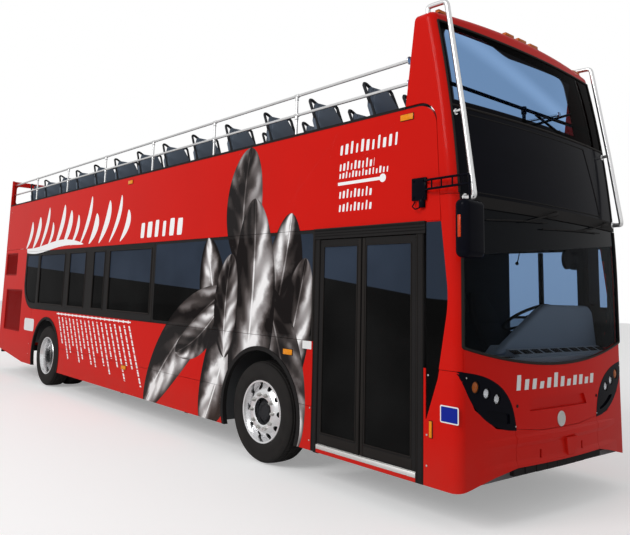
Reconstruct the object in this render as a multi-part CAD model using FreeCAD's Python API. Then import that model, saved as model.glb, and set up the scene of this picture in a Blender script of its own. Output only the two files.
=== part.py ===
import FreeCAD, Part
import math
import os

V = FreeCAD.Vector

# Driving dimensions in millimetres. Stations run along X from the front axle,
# forwards positive; the finished pieces are moved so that the origin lies under
# the middle of the overall box.
WHEELBASE = 5842.0
REAR_OVERHANG = 2560.0
MIRROR_REACH = 140.0
MIRROR_OUTSET = 155.0
BODY_WIDTH = 2550.0
SKIN = 40.0
SEAM = 4.0
PANE_FIT = 0.3

# Heights above the ground
SKIRT_BOTTOM = 276.0
FLOOR_TOP = 345.0
FLOOR_THICK = 45.0
SKIRT_SEAM = 654.0
REAR_DECK_TOP = 700.0
WAIST = 1227.0
WINDOW_HEAD = 2242.0
UPPER_DECK_TOP = 2400.0
UPPER_DECK_THICK = 60.0
SIGN_BOTTOM = 2440.0
SIGN_TOP = 3150.0
SILL = 3204.0
SILL_CAP_THICK = 24.0
COWL_TOP = 4020.0
COWL_CROWN = 50.0
REAR_WALL_TOP = 3700.0
VENT_HEAD = 2300.0

# Nose of the body: a shallow bow in plan, tight corners, leaning back with height
NOSE_TIP = 2420.0
NOSE_BOW = 70.0
NOSE_CORNER = 85.0
RAKE_START = 1800.0
RAKE_RADIUS = 9900.0
NOSE_BACK = 1500.0

SCREEN_MARGIN = 50.0
SCREEN_HEAD = 2350.0
COWL_BROW = 135.0
HEADER_PROUD = 12.0
SIGN_INSET = 4.0

# Wheels and steering
TYRE_RADIUS = 486.0
TYRE_WIDTH = 280.0
TYRE_BORE = 286.0
HAND_HOLE_RING = 236.0
HAND_HOLE = 24.0
WHEEL_OUTER_FACE = 1245.0
TWIN_PITCH = 325.0
KINGPIN_Y = 960.0
KINGPIN_RADIUS = 25.0
KINGPIN_RUNNING = 0.05
SPINDLE_RADIUS = 40.0
SPINDLE_RUNNING = 0.05
ARCH_RADIUS = 592.0
ARCH_TRIM = 40.0

# Entrance in the right-hand side
DOOR_REAR_EDGE = 849.0
DOOR_FRONT_EDGE = 1957.0
DOOR_MEETING = 1370.0
DOOR_HEAD = 2150.0
DOOR_CLEARANCE = 6.0
LEAF_THICK = 35.0
LEAF_STILE = 46.0
LEAF_PIVOT_IN = 22.0
LEAF_PIVOT_DEPTH = 60.0
SHAFT_RADIUS = 14.0
POST_WIDTH = 66.0

# Upper-deck guard rails
RAIL_RADIUS = 19.0
STANCHION_RADIUS = 15.0
RAIL_INSET = 63.0
RAIL_MID = 3420.0
RAIL_TOP = 3620.0
RAIL_FRONT = 1838.0
GUARD_ROOF_X = 2008.0
GUARD_FOOT_Z = 2412.0
FIRST_STANCHION = 392.0
STANCHION_BAYS = 5
SCREEN_RAIL_X = 2085.0
SCREEN_RAIL_Z = 3412.0
SCREEN_RAIL_RADIUS = 16.0

# Seats: separate shells with a back that leans behind the cushion
SEAT_PITCH = 735.0
SEAT_WIDTH = 420.0
SEAT_BACK_HEIGHT = 1150.0
SEAT_BACK_LEAN = 255.0
SEAT_FOOT = 480.0
SEAT_SHELL = 40.0
SEAT_TOP_HALF = 125.0
SEAT_SHOULDER = 215.0
CUSHION_TOP = 485.0
CUSHION_FOOT = 395.0
CUSHION_LENGTH = 430.0
UPPER_SEAT_Y = (400.0, 953.0)
LOWER_SEAT_Y = (521.0, 965.0)
FIRST_UPPER_SEAT = 1245.0
LAST_SEAT_ROOM = 600.0
LOWER_SEAT_PITCH = 760.0
FIRST_LOWER_SEAT = -1650.0
LOWER_BACK_HEIGHT = 1000.0

# Driver's place
CAB_WALL = 1178.0
CAB_WALL_THICK = 25.0
CAB_STEP = 640.0
DRIVER_Y = 560.0
DRIVER_SEAT_X = 1215.0
DRIVER_BACK_HEIGHT = 1080.0
WHEEL_X = 1800.0
WHEEL_Z = 1500.0
WHEEL_RING = 235.0
DASH_TOP = 1250.0
HUMP_TOP = 1605.0
DASH_BACK = NOSE_TIP - 240.0

HALF = BODY_WIDTH / 2
INNER = HALF - SKIN
AXLE_Z = TYRE_RADIUS
REAR_AXLE = -WHEELBASE
REAR_END = -(WHEELBASE + REAR_OVERHANG)
FOREMOST = NOSE_TIP + MIRROR_REACH
FRONT_AXLE_X = (-REAR_END - FOREMOST) / 2
FLOOR_BOTTOM = FLOOR_TOP - FLOOR_THICK
SCREEN_HALF = HALF - SCREEN_MARGIN
UPPER_SCREEN_HEAD = COWL_TOP - COWL_BROW
RAIL_Y = HALF - RAIL_INSET
MIRROR_SPAN = HALF + MIRROR_OUTSET
TRIM_RADIUS = ARCH_RADIUS + ARCH_TRIM
REAR_FACE = REAR_END + 18.0
REAR_RETURN = REAR_FACE + 94.0
QUARTER_SEAM = REAR_AXLE - 764.0
BAND_REAR = REAR_AXLE - 1258.0
BULKHEAD = REAR_AXLE - 1218.0
FLOOR_STEP = REAR_AXLE + 892.0
CORNER_REAR = 2030.0
BAND_CURVE = 470.0
TAPER_HEAD = 2196.0
COWL_SEAM = 2150.0
SIDE_CORNER = 175.0
UPPER_FLOOR_FOOT = UPPER_DECK_TOP - UPPER_DECK_THICK

# Running gear and frame
AXLE_STUB_RADIUS = 60.0
AXLE_BEAM_BOTTOM = 150.0
AXLE_BEAM_TOP = 230.0
EYE_HALF = 58.0
FRAME_BOTTOM = 236.0
RAIL_HALF_GAUGE = 390.0
RAIL_FLANGE = 80.0
REAR_FRAME_BOTTOM = 590.0
REAR_FRAME_TOP = 655.0
CROSS_HALF = 35.0

# Wheel boxes in the floors, and the stairs
FLOOR_BOX_X = 665.0
FLOOR_BOX_TOP = 1130.0
FLOOR_BOX_Y = 575.0
REAR_BOX_X = 600.0
REAR_BOX_TOP = 1080.0
REAR_BOX_Y = 585.0
BOX_WALL = 25.0
STAIR_FOOT = 1170.0
STAIR_TREAD = 165.0
STAIR_STEPS = 8
STAIR_Y = 640.0
STAIR_WALL = 30.0

# Panes of the window band
PANE_FOOT = 1330.0
PANE_HEAD = 2170.0
FLUSH_FOOT = 1262.0
FLUSH_HEAD = 2210.0
FLUSH_LENGTH = 2000.0
BAND_FRONT = 778.0

# Rear wall
REAR_POST = 105.0
REAR_BAR = 90.0
REAR_FOOT = 430.0
COVER_HALF = 992.0
COVER_FOOT = 648.0
COVER_HEAD = 1690.0
COVER_GAP = 8.0
REAR_CORNER = 80.0
HINGE_Y = 620.0
HINGE_RADIUS = 8.0
HINGE_PIN = 4.5
HINGE_X = REAR_FACE - 10.0
HINGE_Z = COVER_HEAD + COVER_GAP / 2

# Front bumper: a seam that dips towards the middle, a ledge and a flared lip
BUMPER_HALF = 638.0
SEAM_DIP_HALF = 290.0
SEAM_END_Z = 684.0
SEAM_MID_Z = 648.0
BUMPER_FOOT = 400.0
LEDGE_PROUD = 18.0
LIP_PROUD = 24.0
PLATE_DEPTH = 26.0

# Door leaves
LEAF_FOOT = FLOOR_TOP + 8.0
LEAF_HEAD = DOOR_HEAD - 8.0
KICK_TOP = 450.0


def unit(a):
    return a * (1.0 / a.Length)


def in_plane(plane, offset, u, v):
    if plane == "xz":
        return V(u, offset, v)
    if plane == "yz":
        return V(offset, u, v)
    return V(u, v, offset)


def outline(points, plane, offset):
    """Closed wire through (u, v) or (u, v, corner radius) points."""
    count = len(points)
    flat = [V(p[0], p[1], 0) for p in points]
    starts, ends, arcs = [], [], []
    for i in range(count):
        here, before, after = flat[i], flat[i - 1], flat[(i + 1) % count]
        radius = points[i][2] if len(points[i]) > 2 else 0.0
        if radius <= 0.0:
            starts.append(here)
            ends.append(here)
            arcs.append(None)
            continue
        to_before, to_after = unit(before - here), unit(after - here)
        half_angle = to_before.getAngle(to_after) / 2
        trim = radius / math.tan(half_angle)
        bisector = unit(to_before + to_after)
        centre = here + bisector * (radius / math.sin(half_angle))
        starts.append(here + to_before * trim)
        ends.append(here + to_after * trim)
        arcs.append(centre - bisector * radius)
    edges = []

    def place(p):
        return in_plane(plane, offset, p.x, p.y)

    for i in range(count):
        if arcs[i] is not None:
            edges.append(Part.Arc(place(starts[i]), place(arcs[i]), place(ends[i])).toShape())
        following = starts[(i + 1) % count]
        if (following - ends[i]).Length > 1e-6:
            edges.append(Part.makeLine(place(ends[i]), place(following)))
    return Part.Wire(edges)


def prism(points, plane, low, high):
    """Solid of an outline drawn in a plane, from one offset to another."""
    face = Part.Face(outline(points, plane, low))
    return face.extrude(in_plane(plane, high - low, 0, 0))


def box(x0, x1, y0, y1, z0, z1):
    return Part.makeBox(x1 - x0, y1 - y0, z1 - z0, V(x0, y0, z0))


def rectangle(u0, u1, v0, v1, radius=0.0):
    return [(u0, v0, radius), (u1, v0, radius), (u1, v1, radius), (u0, v1, radius)]


def union(shapes):
    return shapes[0].multiFuse(shapes[1:]).removeSplitter()


def group(shapes):
    solids = []
    for shape in shapes:
        solids.extend(shape.Solids)
    return Part.makeCompound(solids)


def other_side(shape):
    """The same piece on the left-hand side."""
    return shape.mirror(V(0, 0, 0), V(0, 1, 0))


def both_sides(shape):
    return group([shape, other_side(shape)])


def side_plate(points, side, depth_out=0.0, thick=SKIN):
    """Flat plate in a side wall: side is -1 for right, 1 for left."""
    outer = side * (HALF - depth_out)
    inner = side * (HALF - depth_out - thick)
    return prism(points, "xz", min(outer, inner), max(outer, inner))


def cylinder_y(radius, y0, y1, station, height):
    return Part.makeCylinder(radius, y1 - y0, V(station, y0, height), V(0, 1, 0))


def revolve_y(profile, station, height):
    """Turn a (y, r) profile about a lateral axis."""
    points = [(p[0], p[1] + height) + tuple(p[2:]) for p in profile]
    face = Part.Face(outline(points, "yz", station))
    return face.revolve(V(station, 0, height), V(0, 1, 0), 360)


def tube(points, radius, bend=60.0):
    """Bar of round section along straight runs joined by tangent arcs."""
    edges = []
    start = points[0]
    for i in range(1, len(points) - 1):
        here = points[i]
        to_before, to_after = unit(points[i - 1] - here), unit(points[i + 1] - here)
        half_angle = to_before.getAngle(to_after) / 2
        if half_angle > math.radians(89.9):
            continue
        trim = bend / math.tan(half_angle)
        bisector = unit(to_before + to_after)
        centre = here + bisector * (bend / math.sin(half_angle))
        first, last = here + to_before * trim, here + to_after * trim
        edges.append(Part.makeLine(start, first))
        edges.append(Part.Arc(first, centre - bisector * bend, last).toShape())
        start = last
    edges.append(Part.makeLine(start, points[-1]))
    section = Part.Wire(Part.makeCircle(radius, points[0], points[1] - points[0]))
    return Part.Wire(edges).makePipeShell([section], True, True)


# Nose surface

def nose_tip(height):
    """Station of the nose's foremost point at a height."""
    rise = max(0.0, height - RAKE_START)
    return NOSE_TIP - rise * rise / (2 * RAKE_RADIUS)


def nose_surface(y, height):
    """Station of the nose surface at a lateral place and a height."""
    return nose_tip(height) - NOSE_BOW * (y / (HALF - 35.0)) ** 2


def nose_plan(height, inset):
    """Plan outline of the nose at a height, set in all round."""
    bow_chord = HALF - 35.0
    bow_radius = (bow_chord ** 2 + NOSE_BOW ** 2) / (2 * NOSE_BOW) - inset
    half = HALF - inset
    corner = max(NOSE_CORNER - inset, 6.0)
    tip = nose_tip(height) - inset
    centre = tip - bow_radius
    corner_x = centre + math.sqrt((bow_radius - corner) ** 2 - (half - corner) ** 2)
    corner_y = half - corner
    outwards = unit(V(corner_x - centre, corner_y, 0))
    mid = unit(outwards + V(0, 1, 0))

    def at(x, y):
        return V(x, y, height)

    def corner_point(direction, side):
        return at(corner_x + corner * direction.x, side * (corner_y + corner * direction.y))

    right_end, left_end = corner_point(outwards, -1), corner_point(outwards, 1)
    edges = [
        Part.makeLine(at(NOSE_BACK, -half), at(corner_x, -half)),
        Part.Arc(at(corner_x, -half), corner_point(mid, -1), right_end).toShape(),
        Part.Arc(right_end, at(tip, 0), left_end).toShape(),
        Part.Arc(left_end, corner_point(mid, 1), at(corner_x, half)).toShape(),
        Part.makeLine(at(corner_x, half), at(NOSE_BACK, half)),
        Part.makeLine(at(NOSE_BACK, half), at(NOSE_BACK, -half)),
    ]
    return Part.Wire(edges)


NOSE_CACHE = {}


def nose(inset):
    """Full-height solid bounded by the nose surface, set in all round."""
    if inset not in NOSE_CACHE:
        low = Part.Face(nose_plan(100.0, inset)).extrude(V(0, 0, RAKE_START - 100.0))
        rise = (COWL_TOP + 80.0 - RAKE_START) / 5
        heights = [RAKE_START + step * rise for step in range(6)]
        high = Part.makeLoft([nose_plan(z, inset) for z in heights], True, False)
        NOSE_CACHE[inset] = (low, high)
    return NOSE_CACHE[inset]


def nose_layer(points, inset, thick, back=NOSE_BACK):
    """Shell of the nose under an outline drawn in the front view."""
    window = prism(points, "yz", back, FOREMOST + 200.0)
    pieces = []
    for outer, inner in zip(nose(inset), nose(inset + thick)):
        piece = outer.common(window)
        if piece.Volume > 1.0:
            inner_cut = inner.common(window)
            pieces.append(piece.cut(inner_cut) if inner_cut.Volume > 1.0 else piece)
    return union(pieces) if len(pieces) > 1 else pieces[0]


def nose_inside(inset):
    low, high = nose(inset)
    return union([low, high])


# Running gear

def tyre(centre_y):
    half = TYRE_WIDTH / 2
    shoulder = 34.0
    profile = [
        (centre_y - half, TYRE_BORE + 24.0), (centre_y - half + 26.0, TYRE_BORE),
        (centre_y + half - 26.0, TYRE_BORE), (centre_y + half, TYRE_BORE + 24.0),
        (centre_y + half, TYRE_RADIUS - shoulder - 22.0),
        (centre_y + half - shoulder, TYRE_RADIUS),
        (centre_y - half + shoulder, TYRE_RADIUS),
        (centre_y - half, TYRE_RADIUS - shoulder - 22.0),
    ]
    return profile


def rim_barrel(centre_y):
    half = TYRE_WIDTH / 2
    outer = TYRE_BORE - PANE_FIT
    return [
        (centre_y - half + 27.0, outer), (centre_y + half - 27.0, outer),
        (centre_y + half - 27.0, outer - 20.0), (centre_y - half + 27.0, outer - 20.0),
    ]


def hand_holes(station, radius, hole, y0, y1, count=10):
    holes = []
    for i in range(count):
        angle = 2 * math.pi * i / count
        holes.append(cylinder_y(hole, y0, y1, station + radius * math.cos(angle),
                                AXLE_Z + radius * math.sin(angle)))
    return holes


def front_wheel():
    """Steered wheel on the left: tyre, and rim with its disc and hub."""
    middle = WHEEL_OUTER_FACE - TYRE_WIDTH / 2
    rubber = revolve_y(tyre(middle), 0.0, AXLE_Z)
    bore = SPINDLE_RADIUS + SPINDLE_RUNNING
    disc = [
        (middle + 40.0, bore), (middle + 86.0, bore), (middle + 86.0, 122.0),
        (middle + 110.0, 130.0), (middle + 110.0, 193.0), (middle + 98.0, 204.0),
        (middle + 52.0, TYRE_BORE - 15.0), (middle + 34.0, TYRE_BORE - 15.0),
        (middle + 80.0, 200.0), (middle + 80.0, 128.0), (middle + 40.0, 100.0),
    ]
    rim = union([revolve_y(rim_barrel(middle), 0.0, AXLE_Z), revolve_y(disc, 0.0, AXLE_Z)])
    holes = hand_holes(0.0, HAND_HOLE_RING, HAND_HOLE, middle, middle + 130.0)
    rim = rim.cut(Part.makeCompound(holes))
    return rubber, rim


def rear_wheel():
    """Twin wheels on the left, turning together."""
    outer = WHEEL_OUTER_FACE - TYRE_WIDTH / 2
    inner = outer - TWIN_PITCH
    rubber = group([revolve_y(tyre(y), REAR_AXLE, AXLE_Z) for y in (outer, inner)])
    bore = AXLE_STUB_RADIUS + SPINDLE_RUNNING
    mate = (outer + inner) / 2
    disc = [
        (mate - 30.0, bore), (mate + 150.0, bore), (mate + 170.0, 90.0),
        (mate + 170.0, 120.0), (mate + 30.0, 130.0), (mate + 30.0, 190.0),
        (outer - 60.0, TYRE_BORE - 15.0), (outer - 84.0, TYRE_BORE - 15.0),
        (mate + 12.0, 196.0), (mate - 12.0, 196.0),
        (inner + 84.0, TYRE_BORE - 15.0), (inner + 60.0, TYRE_BORE - 15.0),
        (mate - 30.0, 190.0),
    ]
    rims = [revolve_y(rim_barrel(y), REAR_AXLE, AXLE_Z) for y in (outer, inner)]
    rim = union(rims + [revolve_y(disc, REAR_AXLE, AXLE_Z)])
    return rubber, rim


def front_axle():
    """Dropped beam axle with a vertical eye at each end."""
    eye_z0, eye_z1 = AXLE_Z - EYE_HALF, AXLE_Z + EYE_HALF
    half = [
        (0, AXLE_BEAM_BOTTOM), (640, AXLE_BEAM_BOTTOM), (890, eye_z0), (KINGPIN_Y - 20, eye_z0),
        (KINGPIN_Y - 20, eye_z1), (835, eye_z1), (815, eye_z0 + 20), (600, AXLE_BEAM_TOP),
        (0, AXLE_BEAM_TOP),
    ]
    arm = prism(half, "yz", -50.0, 50.0)
    eye = Part.makeCylinder(55.0, eye_z1 - eye_z0, V(0, KINGPIN_Y, eye_z0))
    pad = box(-60, 60, RAIL_HALF_GAUGE, RAIL_HALF_GAUGE + RAIL_FLANGE, AXLE_BEAM_TOP - 10, FRAME_BOTTOM)
    beam = union([arm, other_side(arm), eye, other_side(eye), pad, other_side(pad)])
    bore = Part.makeCylinder(KINGPIN_RADIUS + KINGPIN_RUNNING, 400.0, V(0, KINGPIN_Y, eye_z0 - 100))
    return beam.cut(bore).cut(other_side(bore))


def knuckle():
    """Left steering knuckle: kingpin, fork and wheel spindle."""
    eye_z0, eye_z1 = AXLE_Z - EYE_HALF, AXLE_Z + EYE_HALF
    gap, ear = 5.0, 28.0
    pin = Part.makeCylinder(KINGPIN_RADIUS, eye_z1 - eye_z0 + 2 * (gap + ear),
                            V(0, KINGPIN_Y, eye_z0 - gap - ear))
    upper = box(-42, 42, KINGPIN_Y - 42, KINGPIN_Y + 92, eye_z1 + gap, eye_z1 + gap + ear)
    lower = box(-42, 42, KINGPIN_Y - 42, KINGPIN_Y + 92, eye_z0 - gap - ear, eye_z0 - gap)
    web = box(-42, 42, KINGPIN_Y + 64, KINGPIN_Y + 92, eye_z0 - gap - ear, eye_z1 + gap + ear)
    spindle = cylinder_y(SPINDLE_RADIUS, KINGPIN_Y + 70, WHEEL_OUTER_FACE - 60.0, 0.0, AXLE_Z)
    return union([pin, upper, lower, web, spindle])


def rear_axle():
    """Live axle: housing, final drive and the wheel stubs."""
    beam_end = WHEEL_OUTER_FACE - TYRE_WIDTH - TWIN_PITCH - 10.0
    beam = cylinder_y(85.0, -beam_end, beam_end, REAR_AXLE, AXLE_Z)
    stub_end = WHEEL_OUTER_FACE - 120.0
    stub = cylinder_y(AXLE_STUB_RADIUS, -stub_end, stub_end, REAR_AXLE, AXLE_Z)
    drive = revolve_y([(-150, 0), (150, 0), (150, 60), (70, 190), (-70, 190), (-150, 60)],
                      REAR_AXLE, AXLE_Z)
    drive = drive.cut(box(REAR_AXLE - 300, REAR_AXLE + 300, -200, 200, REAR_FRAME_TOP, 900))
    pads = [box(REAR_AXLE - 70, REAR_AXLE + 70, s, s + RAIL_FLANGE, AXLE_Z, REAR_FRAME_BOTTOM)
            for s in (-RAIL_HALF_GAUGE - RAIL_FLANGE, RAIL_HALF_GAUGE)]
    return union([beam, stub, drive] + pads)


def ladder(profile, stations, low, high):
    """Two long rails of one side view, joined by cross members."""
    rail = prism(profile, "xz", RAIL_HALF_GAUGE, RAIL_HALF_GAUGE + RAIL_FLANGE)
    cross = [box(x - CROSS_HALF, x + CROSS_HALF, -RAIL_HALF_GAUGE, RAIL_HALF_GAUGE, low, high)
             for x in stations]
    return [rail, other_side(rail)] + cross


def chassis_frame():
    """Low ladder frame from the nose to the step, with outriggers to the skirts."""
    front, rear = NOSE_TIP - 260.0, FLOOR_STEP - BOX_WALL
    profile = rectangle(rear, front, FRAME_BOTTOM, FLOOR_BOTTOM)
    stations = [FLOOR_STEP * share for share in (0.89, 0.65, 0.40, 0.18)] + [900.0, 2000.0]
    pieces = ladder(profile, stations, FRAME_BOTTOM, FLOOR_BOTTOM)
    for x in [FLOOR_STEP * share for share in (0.93, 0.61, 0.28)] + [800.0]:
        out = box(x - 30, x + 30, RAIL_HALF_GAUGE + RAIL_FLANGE, INNER, FRAME_BOTTOM + 20, FLOOR_BOTTOM)
        pieces += [out, other_side(out)]
    return union(pieces)


def rear_frame():
    """Raised rear ladder over the axle, hung from risers behind the step."""
    front, rear = FLOOR_STEP - BOX_WALL, REAR_FACE + 120.0
    profile = [
        (front, FRAME_BOTTOM), (front, REAR_FRAME_TOP), (rear, REAR_FRAME_TOP),
        (rear, REAR_FRAME_BOTTOM), (front - 100.0, REAR_FRAME_BOTTOM), (front - 100.0, FRAME_BOTTOM),
    ]
    stations = (FLOOR_STEP - 250.0, REAR_AXLE - 658.0, REAR_END + 252.0)
    return union(ladder(profile, stations, REAR_FRAME_BOTTOM, REAR_FRAME_TOP))


def engine_block():
    between = RAIL_HALF_GAUGE - 5.0
    lower = box(REAR_FACE + 220, BULKHEAD - 60, -between, between, 380, REAR_FRAME_TOP + 1)
    upper = box(REAR_FACE + 220, BULKHEAD - 60, -between - 70, between + 70, REAR_FRAME_TOP, 1280)
    cross = box(REAR_END + 212, REAR_END + 292, -between - 1, between + 1, 300, REAR_FRAME_TOP)
    return union([lower, upper]).cut(cross)


# Floors and inside

def wheel_box(station, half_length, y_in, top, bottom):
    """Cover over one left wheel, open below and at the side."""
    outer = box(station - half_length, station + half_length, y_in, INNER, bottom, top)
    hollow = box(station - half_length + BOX_WALL, station + half_length - BOX_WALL,
                 y_in + BOX_WALL, INNER + 10, bottom - 10, top - BOX_WALL)
    return outer.cut(hollow)


def over_wheels(floor, station, half_length, y_in, top, bottom):
    """The floor with a cover over each wheel of one axle."""
    cover = wheel_box(station, half_length, y_in, top, bottom)
    clear = box(station - half_length, station + half_length, y_in, INNER + 5, bottom - 5, bottom + 60)
    floor = floor.cut(clear).cut(other_side(clear))
    return floor.fuse(cover).fuse(other_side(cover)).removeSplitter()


def lower_floor():
    front = box(FLOOR_STEP, NOSE_TIP - 100, -INNER, INNER, FLOOR_BOTTOM, FLOOR_TOP)
    front = front.common(nose(SKIN)[0].fuse(box(FLOOR_STEP - 10, NOSE_BACK, -HALF, HALF, 0, 900)))
    return over_wheels(front, 0.0, FLOOR_BOX_X, FLOOR_BOX_Y, FLOOR_BOX_TOP, FLOOR_BOTTOM)


def rear_floor():
    """Raised floor over the rear axle, with its step and the engine bulkhead."""
    step = box(FLOOR_STEP - BOX_WALL, FLOOR_STEP, -INNER, INNER, FLOOR_BOTTOM, REAR_DECK_TOP)
    rear = box(BULKHEAD, FLOOR_STEP, -INNER, INNER, REAR_FRAME_TOP, REAR_DECK_TOP)
    wall = box(BULKHEAD - BOX_WALL, BULKHEAD, -INNER, INNER, REAR_FRAME_TOP, UPPER_FLOOR_FOOT)
    return over_wheels(union([step, rear, wall]), REAR_AXLE, REAR_BOX_X, REAR_BOX_Y, REAR_BOX_TOP,
                       REAR_FRAME_TOP)


def staircase():
    """Stepped flight up to the left of the gangway, with its inner side wall."""
    rise = (UPPER_DECK_TOP - FLOOR_TOP) / (STAIR_STEPS + 1)
    plate = 26.0
    top_line, under_line = [], []
    for k in range(STAIR_STEPS):
        x = STAIR_FOOT - k * STAIR_TREAD
        z = FLOOR_TOP + k * rise
        top_line += [(x, z), (x, z + rise)]
        under_line += [(x - plate, z), (x - plate, z + rise - plate)]
    end_x = STAIR_FOOT - STAIR_STEPS * STAIR_TREAD
    top_z = FLOOR_TOP + STAIR_STEPS * rise
    outline_points = top_line + [(end_x, top_z), (end_x, top_z - plate)]
    outline_points += list(reversed(under_line))
    flight = prism(outline_points, "xz", STAIR_Y - 1, INNER)
    wall_points = [
        (STAIR_FOOT, FLOOR_TOP), (STAIR_FOOT, FLOOR_TOP + 0.9 * rise),
        (end_x, top_z + 60.0), (end_x, top_z - 240.0), (STAIR_FOOT - 320.0, FLOOR_TOP + 30.0),
        (STAIR_FOOT - 320.0, FLOOR_TOP),
    ]
    wall = prism(wall_points, "xz", STAIR_Y - STAIR_WALL, STAIR_Y)
    cover = box(-FLOOR_BOX_X, FLOOR_BOX_X, FLOOR_BOX_Y, HALF, 0, FLOOR_BOX_TOP)
    return union([flight, wall]).cut(cover)


def upper_floor():
    rear, corner = REAR_FACE + SKIN, REAR_CORNER - SKIN
    deck = prism([(rear, -INNER, corner), (NOSE_BACK, -INNER), (NOSE_BACK, INNER),
                  (rear, INNER, corner)], "xy", UPPER_DECK_TOP - UPPER_DECK_THICK, UPPER_DECK_TOP)
    front = Part.Face(nose_plan(UPPER_DECK_TOP, SKIN)).extrude(V(0, 0, -UPPER_DECK_THICK))
    end_x = STAIR_FOOT - STAIR_STEPS * STAIR_TREAD
    well = box(end_x - STAIR_TREAD, STAIR_FOOT - 20, STAIR_Y - STAIR_WALL - 5, INNER - 30, 2000, 3000)
    return union([deck, front]).cut(well)


LEAN = math.atan2(SEAT_BACK_LEAN, SEAT_BACK_HEIGHT - SEAT_FOOT)


def back_front(foot_x, deck, z):
    """Station of a leaning back's front face at a height."""
    return foot_x - (z - deck - SEAT_FOOT) * math.tan(LEAN) + (SEAT_SHELL / 2 + PANE_FIT) / math.cos(LEAN)


def leaned(shape, foot_x, deck, y):
    """Set a piece drawn upright on the seat's foot point at the angle of the back."""
    shape.rotate(V(0, 0, 0), V(0, 1, 0), -math.degrees(LEAN))
    shape.translate(V(foot_x, y, deck + SEAT_FOOT))
    return shape


def seat_back(foot_x, deck, y, height=SEAT_BACK_HEIGHT):
    """Leaning back with its shoulders cut away to a narrow top."""
    low = (CUSHION_FOOT - SEAT_FOOT) / math.cos(LEAN)
    high = (height - SEAT_FOOT) / math.cos(LEAN)
    half = SEAT_WIDTH / 2
    points = [
        (-half, low), (half, low), (half, high - SEAT_SHOULDER), (SEAT_TOP_HALF, high),
        (-SEAT_TOP_HALF, high), (-half, high - SEAT_SHOULDER),
    ]
    return leaned(prism(points, "yz", -SEAT_SHELL / 2, SEAT_SHELL / 2), foot_x, deck, y)


def seat_cushion(foot_x, deck, y):
    """Cushion that butts against the leaning back and falls away at the knees."""
    top, under = deck + CUSHION_TOP, deck + CUSHION_FOOT
    rear = back_front(foot_x, deck, top)
    points = [
        (rear, top), (rear + CUSHION_LENGTH, top + 15), (rear + CUSHION_LENGTH + 38, top - 35),
        (rear + CUSHION_LENGTH, under), (back_front(foot_x, deck, under), under),
    ]
    return prism(points, "xz", y - SEAT_WIDTH / 2, y + SEAT_WIDTH / 2)


def seat_leg(foot_x, deck, y):
    """Pedestal between the deck and the cushion."""
    return box(foot_x + 120, foot_x + 240, y - 25, y + 25, deck, deck + CUSHION_FOOT)


def seat_handles(foot_x, deck, y):
    """Bent grab handle on each shoulder of a back."""
    high = (SEAT_BACK_HEIGHT - SEAT_FOOT) / math.cos(LEAN)
    outer = [(200, high - 230), (200, high + 14), (172, high + 40), (146, high + 34), (80, high - 10),
             (80, high - 40)]
    inner = [(176, high - 240), (176, high + 6), (164, high + 16), (150, high + 12), (100, high - 24),
             (100, high - 40), (120, high - 200)]
    bar = prism(outer, "yz", -9.0, 9.0).cut(prism(inner, "yz", -20.0, 20.0))
    back = prism([(-220, 0), (210, 0), (210, high - SEAT_SHOULDER), (SEAT_TOP_HALF, high), (-220, high)],
                 "yz", -30.0, 30.0)
    bar = bar.cut(back)
    bars = [s for s in bar.Solids if s.Volume > 1000.0]
    pair = Part.makeCompound(bars + [other_side(s) for s in bars])
    return leaned(pair, foot_x, deck, y)


def upper_seat_places():
    """Foot point, deck and lateral place of every upper seat."""
    well_rear = STAIR_FOOT - (STAIR_STEPS + 1) * STAIR_TREAD
    rows = int((FIRST_UPPER_SEAT - REAR_FACE - LAST_SEAT_ROOM) / SEAT_PITCH) + 1
    places = []
    for k in range(rows):
        top_x = FIRST_UPPER_SEAT - k * SEAT_PITCH
        for side in (-1, 1):
            if side > 0 and top_x > well_rear - SEAT_PITCH:
                continue
            places += [(top_x + SEAT_BACK_LEAN, UPPER_DECK_TOP, side * y) for y in UPPER_SEAT_Y]
    return places


def lower_seat_places():
    """The same for the lower saloon, clear of the step and the rear wheel covers."""
    places = []
    top_x = FIRST_LOWER_SEAT
    while top_x > FLOOR_STEP + 200.0:
        places += [(top_x + SEAT_BACK_LEAN, FLOOR_TOP, side * y) for side in (-1, 1) for y in LOWER_SEAT_Y]
        top_x -= LOWER_SEAT_PITCH
    return places


def driver_place():
    return (DRIVER_SEAT_X + SEAT_BACK_LEAN, CAB_STEP, DRIVER_Y)


# Body sides

def arch_hole(station, radius, side):
    y0 = side * HALF
    return cylinder_y(radius, min(y0, y0 - side * SKIN) - 40, max(y0, y0 - side * SKIN) + 40,
                      station, AXLE_Z)


def band_outline(front, grow=0.0):
    """Outline of the dark window band, its lower rear corner well rounded."""
    return [
        (BAND_REAR - grow, WAIST + SEAM / 2 - grow, BAND_CURVE),
        (front + grow, WAIST + SEAM / 2 - grow),
        (front + grow, WINDOW_HEAD - SEAM / 2 + grow),
        (BAND_REAR - grow, WINDOW_HEAD - SEAM / 2 + grow, 40.0),
    ]


PANES_RIGHT = [
    (REAR_AXLE - 1198.0, REAR_AXLE - 628.0), (REAR_AXLE - 508.0, REAR_AXLE + 612.0),
    (REAR_AXLE + 822.0, REAR_AXLE + 1442.0), (REAR_AXLE + 1737.0, REAR_AXLE + 2122.0),
    (REAR_AXLE + 2282.0, REAR_AXLE + 3517.0), (REAR_AXLE + 3622.0, BAND_FRONT - 26.0),
]


def pane_outline(rear, front, shrink=0.0):
    flush = front - rear > FLUSH_LENGTH
    foot = FLUSH_FOOT if flush else PANE_FOOT
    head = FLUSH_HEAD if flush else PANE_HEAD
    points = rectangle(rear + shrink, front - shrink, foot + shrink, head - shrink, 30.0 - shrink)
    if rear < BAND_REAR + 200.0:
        points[0] = (rear + shrink, foot + shrink, 360.0 - shrink)
    return points


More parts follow.
